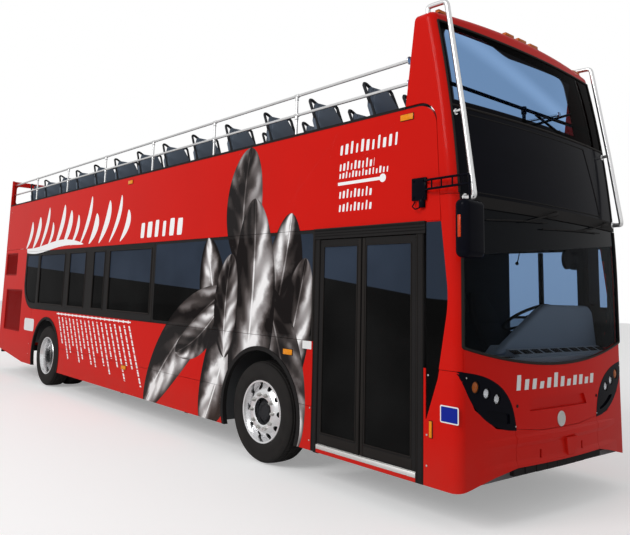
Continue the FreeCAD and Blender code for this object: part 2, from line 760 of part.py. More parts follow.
def panes_of(side):
    if side < 0:
        return PANES_RIGHT
    return PANES_RIGHT + [(820.0, 1960.0)]


def window_band(side):
    front = BAND_FRONT if side < 0 else CORNER_REAR - SEAM
    band = side_plate(band_outline(front), side)
    for rear, ahead in panes_of(side):
        band = band.cut(side_plate(pane_outline(rear, ahead), side, -10.0, SKIN + 20.0))
    return band


def side_glass(side):
    panes = []
    for rear, ahead in panes_of(side):
        depth = 1.0 if ahead - rear > FLUSH_LENGTH else 8.0
        panes.append(side_plate(pane_outline(rear, ahead, PANE_FIT), side, depth, 8.0))
    panes.append(quarter_pane(side))
    return group(panes)


QUARTER_POINTS = [
    (2054.0, 745.0, 4.0), (2160.0, 1064.0, 200.0), (2262.0, 1640.0, 900.0), (TAPER_HEAD, 2236.0, 10.0),
    (2054.0, 2236.0, 10.0),
]


def quarter_points(shrink):
    """Pointed pane between the door post and the front corner."""
    p = QUARTER_POINTS
    return [
        (p[0][0] + shrink, p[0][1] + 3 * shrink, p[0][2]),
        (p[1][0] - shrink, p[1][1], p[1][2]), (p[2][0] - shrink, p[2][1], p[2][2]),
        (p[3][0] - shrink, p[3][1] - shrink, p[3][2]), (p[4][0] + shrink, p[4][1] - shrink, p[4][2]),
    ]


def quarter_pane(side):
    return side_plate(quarter_points(PANE_FIT), side, 3.0, 8.0)


def side_lower(side):
    """Waist panel over the arches, and the three skirts under the seam."""
    front = BAND_FRONT if side < 0 else CORNER_REAR - SEAM
    waist = side_plate(rectangle(QUARTER_SEAM + SEAM, front, SKIRT_SEAM + SEAM / 2, WAIST - SEAM / 2),
                       side)
    below = side_plate(band_outline(front, SEAM), side, -10.0, SKIN + 20.0)
    waist = waist.cut(below)
    skirts = side_plate(rectangle(QUARTER_SEAM + SEAM, front, SKIRT_BOTTOM, SKIRT_SEAM - SEAM / 2), side)
    for station in (0.0, REAR_AXLE):
        waist = waist.cut(arch_hole(station, TRIM_RADIUS + 0.5, side))
        skirts = skirts.cut(arch_hole(station, TRIM_RADIUS + 0.5, side))
    return group([waist, skirts])


VENTS = [
    (REAR_END + 172.0, REAR_END + 812.0, 1810.0, 2236.0),
    (REAR_END + 312.0, REAR_END + 1222.0, 790.0, 1550.0),
]


def rear_quarter(side):
    """Engine-bay side panel behind the rear wheel, with two vent openings."""
    panel = side_plate([
        (QUARTER_SEAM, SKIRT_BOTTOM), (QUARTER_SEAM, WINDOW_HEAD - SEAM / 2),
        (BAND_REAR - SEAM, WINDOW_HEAD - SEAM / 2), (BAND_REAR - SEAM, VENT_HEAD),
        (REAR_RETURN + SEAM, VENT_HEAD), (REAR_RETURN + SEAM, REAR_FOOT - 5.0),
        (REAR_AXLE - 1088.0, SKIRT_BOTTOM),
    ], side)
    panel = panel.cut(side_plate(band_outline(BAND_FRONT, SEAM), side, -10.0, SKIN + 20.0))
    for x0, x1, z0, z1 in VENTS:
        panel = panel.cut(side_plate(rectangle(x0, x1, z0, z1, 20.0), side, -10.0, SKIN + 20.0))
    return group([panel])


def vent_grille(side, x0, x1, z0, z1):
    """Frame with slanted slats set in a vent opening."""
    fit = PANE_FIT
    frame = side_plate(rectangle(x0 + fit, x1 - fit, z0 + fit, z1 - fit, 19.0), side, 6.0, 24.0)
    frame = frame.cut(side_plate(rectangle(x0 + 26, x1 - 26, z0 + 26, z1 - 26), side, -10.0, 80.0))
    slats = []
    count = int((z1 - z0 - 60) // 62)
    pitch = (z1 - z0 - 52) / (count + 0.5)
    y = side * (HALF - 8.0)
    for k in range(count):
        z = z0 + 30 + k * pitch
        points = [(y, z), (y, z + 8), (y - side * 20, z + 40), (y - side * 20, z + 32)]
        slats.append(prism(points, "yz", x0 + 20, x1 - 20))
    return union([frame] + slats)


def side_upper(side):
    """Between-decks panel up to the sill, rounded at the cowl seam."""
    return side_plate([
        (BAND_REAR, WINDOW_HEAD + SEAM / 2), (TAPER_HEAD - SEAM, WINDOW_HEAD + SEAM / 2),
        (COWL_SEAM - SEAM, SILL - SILL_CAP_THICK, SIDE_CORNER), (REAR_RETURN + SEAM, SILL - SILL_CAP_THICK),
        (REAR_RETURN + SEAM, VENT_HEAD + SEAM), (BAND_REAR, VENT_HEAD + SEAM),
    ], side)


def sill_cap():
    y0 = INNER - 22.0
    points = rectangle(REAR_RETURN + PANE_FIT, 1840.0, SILL - SILL_CAP_THICK, SILL)
    return prism(points, "xz", y0, HALF + 3.0)


# Rear

def rear_plan(inset):
    half = HALF - inset
    corner = REAR_CORNER - inset
    face = REAR_FACE + inset
    return [(REAR_RETURN, -half), (face, -half, corner), (face, half, corner), (REAR_RETURN, half)]


def rear_panel():
    """Rear wall: full width with wrapped corners, up to a portal above the deck."""
    foot = REAR_FOOT
    outer = prism(rear_plan(0.0), "xy", foot, REAR_WALL_TOP)
    inner_points = rear_plan(SKIN)
    inner_points[0] = (REAR_RETURN + 50, inner_points[0][1])
    inner_points[3] = (REAR_RETURN + 50, inner_points[3][1])
    wall = outer.cut(prism(inner_points, "xy", foot - 10, REAR_WALL_TOP + 10))
    hatch = rectangle(-COVER_HALF - COVER_GAP, COVER_HALF + COVER_GAP,
                      COVER_FOOT - COVER_GAP, COVER_HEAD + COVER_GAP)
    portal = rectangle(-HALF + REAR_POST, HALF - REAR_POST, SILL + 36.0, REAR_WALL_TOP - REAR_BAR, 60.0)
    for points in (hatch, portal):
        wall = wall.cut(prism(points, "yz", REAR_FACE - 50, REAR_RETURN + 100))
    return union([wall] + cover_hinge_seat(-HINGE_Y) + cover_hinge_seat(HINGE_Y))


def cover_hinge_seat(y):
    """Fixed half of a cover hinge: two lugs with the pin between them."""
    parts = []
    for y0 in (y - 62.0, y + 42.0):
        parts.append(cylinder_y(HINGE_RADIUS, y0, y0 + 20.0, HINGE_X, HINGE_Z))
        parts.append(box(HINGE_X - 4, REAR_FACE + 1, y0, y0 + 20.0, HINGE_Z, HINGE_Z + 60.0))
    parts.append(cylinder_y(HINGE_PIN, y - 62.0, y + 62.0, HINGE_X, HINGE_Z))
    return parts


def cover_hinge_leaf(y):
    """Moving half of a cover hinge: the barrel and its leaf on the cover."""
    barrel = cylinder_y(HINGE_RADIUS, y - 41.0, y + 41.0, HINGE_X, HINGE_Z)
    leaf = box(HINGE_X - 4, REAR_FACE + 1, y - 41.0, y + 41.0, HINGE_Z - 70.0, HINGE_Z)
    bore = cylinder_y(HINGE_PIN + SPINDLE_RUNNING, y - 60.0, y + 60.0, HINGE_X, HINGE_Z)
    return union([barrel, leaf]).cut(bore)


def engine_cover():
    """Top-hung cover with a bank of louvres."""
    plate = prism(rectangle(-COVER_HALF, COVER_HALF, COVER_FOOT, COVER_HEAD, 30.0), "yz",
                  REAR_FACE, REAR_FACE + SKIN)
    slots = []
    for k in range(9):
        z = 820.0 + k * 62.0
        slots.append(box(REAR_FACE - 5, REAR_FACE + SKIN + 5, -760.0, 760.0, z, z + 30.0))
    plate = plate.cut(Part.makeCompound(slots))
    return union([plate, cover_hinge_leaf(-HINGE_Y), cover_hinge_leaf(HINGE_Y)])


def rear_bumper():
    bar = prism([
        (REAR_END, 330), (REAR_END, 560), (REAR_FACE + 30, 622), (REAR_FACE + 60, 622),
        (REAR_FACE + 60, 330),
    ], "xz", -HALF + 90.0, HALF - 90.0)
    return bar.cut(box(REAR_FACE, REAR_RETURN + 50, -HALF, HALF, REAR_FOOT, 700.0))


def rear_lamps():
    """Round lamp units stacked at each rear corner."""
    lamps = []
    for z in (1130.0, 1250.0, 1370.0, 1490.0):
        lamps.append(Part.makeCylinder(48.0, 16.0, V(REAR_FACE - 16.0 - PANE_FIT, 1120.0, z), V(1, 0, 0)))
    right = [other_side(lamp) for lamp in lamps]
    return group(lamps + right)


# Front

MASK_POINTS = [
    (-1262.0, 1112.0), (-1090.0, 1086.0, 160.0), (-840.0, 992.0, 220.0), (-715.0, 820.0, 160.0),
    (-690.0, 676.0, 6.0), (-870.0, 700.0, 200.0), (-1110.0, 850.0, 300.0),
]


def headlamp_mask():
    mask = nose_layer(MASK_POINTS, 8.0, 26.0, 2240.0)
    for y, z, radius in FRONT_LAMPS:
        mask = mask.cut(Part.makeCylinder(radius, 400.0, V(2140.0, y, z), V(1, 0, 0)))
    return mask


FRONT_LAMPS = [(-1097.0, 1012.0, 47.0), (-977.0, 962.0, 42.0), (-857.0, 915.0, 42.0)]


def front_lamps():
    """Round lamps seated in the holes of the masks, facing forwards."""
    lamps = []
    for y, z, radius in FRONT_LAMPS:
        face = nose_surface(y, z) - 2.0
        lamps.append(Part.makeCylinder(radius - PANE_FIT, 40.0, V(face - 40.0, y, z), V(1, 0, 0)))
    return group(lamps + [other_side(lamp) for lamp in lamps])


def windscreen_foot(y):
    """Height of the curved lower edge of the lower windscreen."""
    return 1150.0 + 150.0 * (abs(y) / 1240.0) ** 2


def foot_line(shift, half, steps=8):
    points = []
    for k in range(steps + 1):
        y = -half + 2 * half * k / steps
        points.append((y, windscreen_foot(y) + shift))
    return points


def seam_line(half, shift):
    """Seam over the bumper, which dips towards the middle."""
    return [
        (-half, SEAM_END_Z + shift), (-SEAM_DIP_HALF, SEAM_MID_Z + shift),
        (SEAM_DIP_HALF, SEAM_MID_Z + shift), (half, SEAM_END_Z + shift),
    ]


def front_fascia():
    """Panel under the windscreen, between the headlamp masks, with a flat plate seat."""
    half = SCREEN_HALF - SEAM
    points = [(half, 1106.0)]
    points += list(reversed(foot_line(-SEAM, half)))
    points += [(-half, 1106.0), (-1150.0, 1050.0)] + seam_line(655.0, 0.0) + [(1150.0, 1050.0)]
    shell = nose_layer(points, 0.0, SKIN, 2140.0)
    mask = prism([(p[0], p[1]) for p in MASK_POINTS], "yz", 1900, 2700)
    seat = prism([(-450, 800), (450, 800), (400, 890), (-400, 890)], "yz", NOSE_TIP - PLATE_DEPTH, 2700)
    return shell.cut(mask).cut(other_side(mask)).cut(seat)


def swell_plan(height, proud):
    """Plan of a forward swell that fades into the nose at its corners."""
    half, back = HALF - NOSE_CORNER, 2140.0
    edge = nose_surface(half, height) - 6.0
    arc = Part.Arc(V(edge, -half, height), V(NOSE_TIP + proud, 0, height), V(edge, half, height))
    return Part.Wire([
        arc.toShape(), Part.makeLine(V(edge, half, height), V(back, half, height)),
        Part.makeLine(V(back, half, height), V(back, -half, height)),
        Part.makeLine(V(back, -half, height), V(edge, -half, height)),
    ])


def bumper_swell():
    """Bevelled ledge under the seam and flared lip along the foot, without the body behind."""
    ledge = [swell_plan(z, proud) for z, proud in (
        (SEAM_MID_Z - 12.0, 0.0), (SEAM_MID_Z - 34.0, LEDGE_PROUD), (575.0, LEDGE_PROUD), (545.0, 4.0),
        (450.0, 6.0), (BUMPER_FOOT + 18.0, LIP_PROUD), (260.0, LIP_PROUD))]
    return Part.makeLoft(ledge, True, True).cut(nose(SKIN)[0])


def bumper_corner():
    """Right-hand lower corner, from the door post round to the bumper joint."""
    edge = BUMPER_HALF + SEAM
    foot = [(-1280.0, SKIRT_BOTTOM), (-1150.0, 300.0), (-900.0, 356.0), (-edge, BUMPER_FOOT)]
    points = foot + [(-edge, 676.0), (-690.0, 676.0), (-1262.0, 1124.0), (-1280.0, 1124.0)]
    shell = nose_layer(points, 0.0, SKIN, CORNER_REAR)
    swell = bumper_swell().common(prism(points, "yz", 2140.0, FOREMOST))
    mask = prism([(p[0], p[1]) for p in MASK_POINTS], "yz", 1900, 2700)
    taper = side_plate(quarter_points(-SEAM), -1, -20.0, SKIN + 60.0)
    return union([shell, swell]).cut(mask).cut(taper)


def front_bumper():
    """Centre bumper between the corner pieces, on two arms that stand on the floor."""
    points = [(-BUMPER_HALF, BUMPER_FOOT), (BUMPER_HALF, BUMPER_FOOT)]
    points += list(reversed(seam_line(BUMPER_HALF, -SEAM)))
    shell = nose_layer(points, 0.0, SKIN, 2140.0)
    swell = bumper_swell().common(prism(points, "yz", 2140.0, FOREMOST))
    tow_cover = prism([(55.0, 425.0), (155.0, 425.0), (205.0, 560.0), (35.0, 560.0)], "yz",
                      NOSE_TIP - 20.0, NOSE_TIP + LEDGE_PROUD + 9.0)
    front = union([shell, swell, tow_cover])
    for y in (-325.0, 325.0):
        slot = prism([(y - 16, 440), (y + 8, 440), (y + 16, 503), (y - 8, 503)], "yz",
                     NOSE_TIP - 22.0, FOREMOST)
        front = front.cut(slot)
    arm = box(2210.0, NOSE_TIP, RAIL_HALF_GAUGE, RAIL_HALF_GAUGE + RAIL_FLANGE,
              FLOOR_TOP + PANE_FIT, 500.0)
    arm = arm.common(nose(SKIN / 2)[0])
    return union([front, arm, other_side(arm)])


def windscreen_lower():
    points = [(SCREEN_HALF, SCREEN_HEAD), (-SCREEN_HALF, SCREEN_HEAD)]
    points += foot_line(PANE_FIT, SCREEN_HALF)
    return nose_layer(points, 6.0, 10.0, 2200.0)


def screen_header():
    """Black beam over the lower windscreen that carries the wipers."""
    points = rectangle(-SCREEN_HALF, SCREEN_HALF, SCREEN_HEAD + PANE_FIT, SIGN_BOTTOM)
    return nose_layer(points, -HEADER_PROUD, 38.0 + HEADER_PROUD, 2120.0)


def sign_panel():
    points = rectangle(-SCREEN_HALF, SCREEN_HALF, SIGN_BOTTOM + PANE_FIT, SIGN_TOP)
    return nose_layer(points, SIGN_INSET, 30.0, 2000.0)


def windscreen_upper():
    points = rectangle(-SCREEN_HALF, SCREEN_HALF, SIGN_TOP + PANE_FIT, UPPER_SCREEN_HEAD)
    return nose_layer(points, 6.0, 10.0, 1960.0)


def front_pillar():
    """Right-hand corner pillar between quarter glass and windscreen."""
    points = rectangle(-HALF - 5.0, -SCREEN_HALF - PANE_FIT, 1128.0, SIGN_BOTTOM)
    shell = nose_layer(points, 0.0, SKIN, CORNER_REAR)
    taper = side_plate(quarter_points(0.0), -1, -20.0, SKIN + 60.0)
    upper = side_plate([(1900, WINDOW_HEAD - 1), (2198, WINDOW_HEAD - 1), (2180, 2500), (1900, 2500)],
                       -1, -20.0, SKIN + 60.0)
    behind = box(1900, 2060, -HALF - 10, 0, 1000, 2500)
    return shell.cut(taper).cut(upper).cut(behind)


def front_cowl():
    """Upper nose: cheeks and roof round the upper windscreen and the sign."""
    outline_points = rectangle(-HALF - 5, HALF + 5, SIGN_BOTTOM + SEAM, COWL_TOP + 180.0)
    window = prism(outline_points, "yz", NOSE_BACK + 20, FOREMOST)
    outer = nose(0.0)[1].common(window)
    crown_radius = (HALF ** 2 + COWL_CROWN ** 2) / (2 * COWL_CROWN)
    crown = Part.makeCylinder(crown_radius, 3000.0, V(0, 0, COWL_TOP - crown_radius), V(1, 0, 0))
    outer = outer.common(crown)
    roof_edges = [e for e in outer.Edges if e.BoundBox.ZMin > COWL_TOP - COWL_CROWN - 5.0
                  and e.BoundBox.XMax > NOSE_BACK + 60]
    outer = outer.makeFillet(70.0, roof_edges)
    under = Part.makeCylinder(crown_radius - SKIN, 3000.0, V(0, 0, COWL_TOP - crown_radius), V(1, 0, 0))
    inner = nose(SKIN)[1].common(under)
    shell = outer.cut(inner)
    wide = SCREEN_HALF + PANE_FIT
    opening = prism(rectangle(-wide, wide, 2300.0, UPPER_SCREEN_HEAD + PANE_FIT), "yz", 2000.0, FOREMOST)
    shell = shell.cut(opening)
    rear_cut = prism([
        (1400, 2000), (TAPER_HEAD, 2000), (TAPER_HEAD, WINDOW_HEAD), (COWL_SEAM, SILL, SIDE_CORNER),
        (1845, SILL), (1960, COWL_TOP + 80), (1400, COWL_TOP + 80),
    ], "xz", -HALF - 225.0, HALF + 225.0)
    return shell.cut(rear_cut)


# Entrance

def door_surround():
    """Posts, header and threshold round the two leaves."""
    foot = FLOOR_BOTTOM - 24.0
    head = DOOR_HEAD + 92.0
    rear_post = side_plate(rectangle(DOOR_REAR_EDGE - POST_WIDTH, DOOR_REAR_EDGE, foot, head), -1)
    front_post = side_plate(rectangle(DOOR_FRONT_EDGE, CORNER_REAR - SEAM, foot, head), -1)
    header = side_plate(rectangle(DOOR_REAR_EDGE - POST_WIDTH, CORNER_REAR + 20.0, DOOR_HEAD, head), -1,
                        -9.0, SKIN + 9.0)
    threshold = side_plate(rectangle(DOOR_REAR_EDGE, DOOR_FRONT_EDGE, foot, FLOOR_TOP), -1)
    frame = union([rear_post, front_post, header, threshold])
    for z in (DOOR_HEAD + 20.0, DOOR_HEAD + 44.0, DOOR_HEAD + 68.0):
        groove = rectangle(DOOR_REAR_EDGE - POST_WIDTH - 5, CORNER_REAR + 30.0, z, z + 8.0)
        frame = frame.cut(side_plate(groove, -1, -20.0, 17.0))
    return frame


def leaf_glass_points(x0, x1, shrink=0.0):
    return rectangle(x0 + LEAF_STILE + shrink, x1 - LEAF_STILE - shrink, KICK_TOP + shrink,
                     LEAF_HEAD - 60.0 - shrink, 12.0)


def leaf_ends(front_leaf):
    gap = DOOR_CLEARANCE
    if front_leaf:
        return DOOR_MEETING + gap, DOOR_FRONT_EDGE - gap
    return DOOR_REAR_EDGE + gap, DOOR_MEETING - gap


def leaf_pivot(front_leaf):
    x0, x1 = leaf_ends(front_leaf)
    return (x1 - LEAF_PIVOT_IN if front_leaf else x0 + LEAF_PIVOT_IN), -HALF + LEAF_PIVOT_DEPTH


def door_leaf(front_leaf):
    """Glazed leaf on two arms of an upright turning shaft."""
    x0, x1 = leaf_ends(front_leaf)
    leaf = side_plate(rectangle(x0, x1, LEAF_FOOT, LEAF_HEAD), -1, 5.0, LEAF_THICK)
    leaf = leaf.cut(side_plate(leaf_glass_points(x0, x1), -1, -10.0, 80.0))
    x, y = leaf_pivot(front_leaf)
    low = FLOOR_TOP + PANE_FIT
    high = UPPER_DECK_TOP - UPPER_DECK_THICK - PANE_FIT
    shaft = Part.makeCylinder(SHAFT_RADIUS, high - low, V(x, y, low))
    arms = [box(x - 12, x + 12, y - 22, y, z, z + 40) for z in (560.0, 1960.0)]
    return union([leaf, shaft] + arms)


def door_glass(front_leaf):
    x0, x1 = leaf_ends(front_leaf)
    return side_plate(leaf_glass_points(x0, x1, PANE_FIT), -1, 9.0, 8.0)


# Deck rails, mirrors and the small outside pieces

STANCHION_PITCH = (FIRST_STANCHION - REAR_END - 1384.0) / STANCHION_BAYS
STANCHIONS = [FIRST_STANCHION - k * STANCHION_PITCH for k in range(STANCHION_BAYS + 1)]


def screen_rail():
    """Cross rail behind the upper screen, between the cheeks, with a post to the deck."""
    reach = INNER - PANE_FIT
    rail = cylinder_y(SCREEN_RAIL_RADIUS, -reach, reach, SCREEN_RAIL_X, SCREEN_RAIL_Z)
    post = Part.makeCylinder(SCREEN_RAIL_RADIUS, SCREEN_RAIL_Z - UPPER_DECK_TOP,
                             V(SCREEN_RAIL_X, 100.0, UPPER_DECK_TOP))
    return union([rail, post])


def guard_rails():
    """Two lengthwise bars a side on stanchions that stand on the sill."""
    corner = REAR_CORNER - SKIN
    reach = RAIL_Y + RAIL_RADIUS - (INNER - corner)
    rear_x = REAR_FACE + SKIN + corner - math.sqrt(corner ** 2 - reach ** 2)
    front_x = RAIL_FRONT
    pieces = []
    for z in (RAIL_MID, RAIL_TOP):
        pieces.append(Part.makeCylinder(RAIL_RADIUS, front_x - rear_x - 0.3, V(rear_x + 0.3, RAIL_Y, z),
                                        V(1, 0, 0)))
    for station in STANCHIONS:
        pieces.append(Part.makeCylinder(STANCHION_RADIUS, RAIL_TOP - SILL, V(station, RAIL_Y, SILL)))
        pieces.append(Part.makeCylinder(34.0, 10.0, V(station, RAIL_Y, SILL)))
        for z in (RAIL_MID, RAIL_TOP):
            pieces.append(Part.makeCylinder(RAIL_RADIUS + 6, 46.0, V(station - 23, RAIL_Y, z), V(1, 0, 0)))
    return group([both_sides(union(pieces)), screen_rail()])


def branch_guard():
    """Bent bar that runs down the left front corner, clear of the body."""
    y = HALF - 85.0
    roof = COWL_TOP - COWL_CROWN * ((y - RAIL_RADIUS) / HALF) ** 2 + PANE_FIT
    foot = nose_surface(y, GUARD_FOOT_Z) - 40.0
    path = [
        V(GUARD_ROOF_X, y, roof), V(GUARD_ROOF_X, y, roof + 68), V(GUARD_ROOF_X + 184, y, roof + 62),
        V(2340, y, 3103), V(2436, y, GUARD_FOOT_Z), V(foot, y, GUARD_FOOT_Z),
    ]
    bar = tube(path, RAIL_RADIUS, 46.0)
    seat = nose_surface(y - 40.0, 3095.0) - 20.0
    reach = V(2342 - seat, 40, 0)
    bracket = Part.makeCylinder(11.0, reach.Length, V(seat, y - 40, 3095), reach)
    bar = bar.cut(nose(-HEADER_PROUD - PANE_FIT)[1].common(box(2000, 2600, 0, HALF, 2300, SIGN_BOTTOM)))
    return union([bar, bracket.cut(nose(SIGN_INSET - PANE_FIT)[1])])


def mirror_right():
    """Side bracket, ladder arm round the corner and the hanging head."""
    plate = box(1925, 2066, -HALF - 22, -HALF - 0.3, 2408, 2590)
    y = -1330.0
    arm = []
    for z in (2552.0, 2485.0):
        arm.append(tube([V(2050, -HALF - 14, z), V(2120, y, z), V(2420, y, z), V(2492, y, z),
                         V(2492, y, 2330)], 9.0, 34.0) if z > 2500 else
                   tube([V(2050, -HALF - 14, z), V(2120, y, z), V(2488, y, z)], 9.0, 34.0))
    for x in (2150.0, 2240.0, 2340.0, 2430.0):
        arm.append(Part.makeCylinder(6.0, 67.0, V(x, y, 2485)))
    head = prism(rectangle(-MIRROR_SPAN, 205.0 - MIRROR_SPAN, 1950.0, 2352.0, 60.0), "yz",
                 FOREMOST - 112.0, FOREMOST)
    return union([plate, head] + arm)


def mirror_left():
    """Arm and head beside the driver's window."""
    head = prism(rectangle(HALF + 10.0, MIRROR_SPAN, 1990.0, 2390.0, 50.0), "yz", 1820.0, 1925.0)
    plate = box(2075, 2165, HALF + 0.3, HALF + 22, 2250, 2420)
    arm = tube([V(2120, HALF + 12, 2330), V(2060, 1350, 2330), V(1915, 1350, 2330)], 11.0, 30.0)
    return union([head, plate, arm])


def wipers():
    """Two arms and blades hung from the header beam."""
    items = []
    for pivot_y, elbow_y, elbow_z, blade in (
            (-7.0, -494.0, 2287.0, ((-969.0, 2262.0), (-141.0, 2310.0))),
            (971.0, 598.0, 2320.0, ((-223.0, 2252.0), (825.0, 2302.0)))):
        pivot_z = 2400.0
        seat = nose_surface(pivot_y, pivot_z) + HEADER_PROUD - 12.0
        x_elbow = nose_surface(elbow_y, elbow_z) + 34.0
        pivot = Part.makeCylinder(22.0, 48.0, V(seat, pivot_y, pivot_z), V(1, 0, 0))
        pivot = pivot.cut(nose(-HEADER_PROUD - PANE_FIT)[1])
        arm = tube([V(seat + 36.0, pivot_y, pivot_z), V(x_elbow, elbow_y, elbow_z)], 10.0)
        ends = [V(nose_surface(y, z) + 16.0, y, z) for y, z in blade]
        rubber = tube(ends, 9.0)
        link = tube([V(x_elbow, elbow_y, elbow_z), V(x_elbow - 26.0, elbow_y + 4, elbow_z - 4)], 9.0)
        items.append(union([pivot, arm, rubber, link]))
    return group(items)


def marker_lamps():
    """Side, roof and front marker lamps."""
    lamps = []
    for x, z in ((REAR_AXLE + 2788.0, 3112.0), (1858.0, 3118.0), (REAR_AXLE + 2922.0, 602.0),
                 (407.0, 1128.0)):
        lamps.append(side_plate(rectangle(x - 42, x + 42, z - 18, z + 18, 6.0), -1, -10.3, 10.0))
    lamps.append(side_plate(rectangle(2085.0, 2115.0, 625.0, 747.0), -1, -6.3, 6.0))
    lamps += [other_side(lamp) for lamp in lamps]
    return group(lamps)


def roof_lamps():
    lamps = []
    for y in (-1092.0, -201.0, 0.0, 201.0, 1092.0):
        inner_edge = max(abs(y) - 55.0, 0.0)
        seat = COWL_TOP - COWL_CROWN * (inner_edge / HALF) ** 2 + PANE_FIT
        x = nose_surface(y, COWL_TOP) - 120.0
        lamps.append(prism(rectangle(y - 55, y + 55, seat, seat + 24, 8.0), "yz", x, x + 50))
    return group(lamps)


def arch_trim(side, station):
    """Half ring of black edging round one wheel arch."""
    y0 = side * (HALF + 8.0)
    y1 = side * INNER
    ring = cylinder_y(TRIM_RADIUS, min(y0, y1), max(y0, y1), station, AXLE_Z)
    ring = ring.cut(cylinder_y(ARCH_RADIUS, -HALF - 50, HALF + 50, station, AXLE_Z))
    return ring.cut(box(station - 900, station + 900, -HALF - 60, HALF + 60, -200, SKIRT_BOTTOM))


def dashboard():
    """Moulded dash under the windscreen, with a raised binnacle before the driver."""
    top = DASH_TOP
    points = [
        (NOSE_TIP - 220, FLOOR_TOP), (NOSE_TIP - 220, 560), (NOSE_TIP - 130, 700),
        (NOSE_TIP - 130, top - 40), (NOSE_TIP - 220, top), (NOSE_TIP - 400, top + 25),
        (NOSE_TIP - 460, top - 50), (NOSE_TIP - 410, top - 130), (NOSE_TIP - 270, top - 190),
        (DASH_BACK, 700), (DASH_BACK, FLOOR_TOP),
    ]
    body = prism(points, "xz", -380.0, 1160.0)
    shelf = box(NOSE_TIP - 400, NOSE_TIP + 100, -1160, 1160, top - 120, top - 50)
    hump = prism([
        (120.0, top - 30), (340.0, HUMP_TOP - 35), (430.0, HUMP_TOP), (1060.0, HUMP_TOP),
        (1125.0, HUMP_TOP - 45), (1150.0, top - 30),
    ], "yz", NOSE_TIP - 380.0, NOSE_TIP - 270.0)
    return union([part.common(nose_inside(SKIN + 12)) for part in (body, shelf, hump)])


def steering_wheel():
    """Rim, spoke and column, seated on the dash."""
    centre = V(WHEEL_X, DRIVER_Y, WHEEL_Z)
    axis = unit(V(-0.6, 0, 1))
    ring = Part.makeTorus(WHEEL_RING, 14.0, centre, axis)
    column = Part.makeCylinder(26.0, 395.0, centre + axis * 10.0, axis * -1)
    spoke = Part.makeCylinder(12.0, 2 * WHEEL_RING - 10.0, centre - V(0, WHEEL_RING - 5.0, 0), V(0, 1, 0))
    return union([ring, column, spoke]).cut(dashboard())


def cab_partition():
    """Wall behind the driver and the raised cab floor in front of it."""
    y0 = 330.0
    wall = box(CAB_WALL, CAB_WALL + CAB_WALL_THICK, y0, INNER, FLOOR_TOP, UPPER_FLOOR_FOOT)
    front = DASH_BACK - PANE_FIT
    step = box(CAB_WALL, front, y0, INNER, FLOOR_TOP, CAB_STEP)
    return union([wall, step])


def save(name, shape):
    placed = shape.copy()
    placed.translate(V(FRONT_AXLE_X, 0, 0))
    solids = placed.Solids
    if not solids or not all(s.isValid() and s.Volume > 0 for s in solids):
        raise ValueError(name + " has no valid solid")
    out = solids[0] if len(solids) == 1 else Part.makeCompound(solids)
    out.exportStep(os.path.join("parts", name + ".step"))
    print(name, len(solids), round(sum(s.Volume for s in solids) / 1e6))


def build():
    os.makedirs("parts", exist_ok=True)
    save("chassis_frame", chassis_frame())
    save("rear_frame", rear_frame())
    save("front_axle", front_axle())
    save("rear_axle", rear_axle())
    save("engine_block", engine_block())
    save("lower_floor", lower_floor())
    save("rear_floor", rear_floor())
    save("upper_floor", upper_floor())
    save("staircase", staircase())
    save("cab_partition", cab_partition())
    save("dashboard", dashboard())
    save("steering_wheel", steering_wheel())
    upper, lower = upper_seat_places(), lower_seat_places()
    driver = driver_place()
    backs = [seat_back(*place) for place in upper]
    backs += [seat_back(*place, height=LOWER_BACK_HEIGHT) for place in lower]
    backs.append(seat_back(*driver, height=DRIVER_BACK_HEIGHT))
    save("seat_backs", group(backs))
    save("seat_cushions", group([seat_cushion(*place) for place in upper + lower + [driver]]))
    save("seat_legs", group([seat_leg(*place) for place in upper + lower + [driver]]))
    save("seat_handles", group([seat_handles(*place) for place in upper]))
    for name, piece in (("side_lower", side_lower), ("side_upper", side_upper),
                        ("window_bands", window_band), ("side_glass", side_glass)):
        save(name, group([piece(-1), piece(1)]))
    save("rear_quarters", group([rear_quarter(-1), rear_quarter(1)]))
    save("side_vents", group([vent_grille(s, *v) for s in (-1, 1) for v in VENTS]))
    trims = [arch_trim(s, x) for s in (-1, 1) for x in (0.0, REAR_AXLE)]
    save("body_trims", group([both_sides(sill_cap())] + trims))
    save("rear_panel", rear_panel())
    save("engine_cover", engine_cover())
    save("rear_bumper", rear_bumper())
    save("front_fascia", front_fascia())
    save("front_bumper", group([front_bumper(), both_sides(bumper_corner())]))
    save("headlamp_masks", both_sides(headlamp_mask()))
    save("front_lamps", front_lamps())
    save("windscreen_lower", windscreen_lower())
    save("screen_header", screen_header())
    save("sign_panel", sign_panel())
    save("windscreen_upper", windscreen_upper())
    save("front_pillars", both_sides(front_pillar()))
    save("front_cowl", front_cowl())
    save("door_surround", door_surround())
    for name, front_leaf in (("front", True), ("rear", False)):
        save("door_leaf_" + name, door_leaf(front_leaf))
        save("door_glass_" + name, door_glass(front_leaf))
    save("guard_rails", guard_rails())
    save("branch_guards", both_sides(branch_guard()))
    save("mirrors", group([mirror_right(), mirror_left()]))
    save("wipers", wipers())
    save("marker_lamps", group([marker_lamps(), roof_lamps(), rear_lamps()]))
    left_knuckle = knuckle()
    front_tyre, front_rim = front_wheel()
    rear_tyres, rear_rims = rear_wheel()
    for name, turn in (("left", lambda s: s), ("right", other_side)):
        save("knuckle_" + name, turn(left_knuckle))
        save("front_tyre_" + name, turn(front_tyre))
        save("front_rim_" + name, turn(front_rim))
        save("rear_tyres_" + name, turn(rear_tyres))
        save("rear_rims_" + name, turn(rear_rims))


build()
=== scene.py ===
"""Looks of an open-top double-deck sightseeing bus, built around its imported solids."""

from __future__ import annotations

import logging
import math
from dataclasses import dataclass, field
from enum import Enum
from typing import Any, Callable, Iterable, Sequence, Union

import bmesh
import bpy
from mathutils import Matrix, Vector


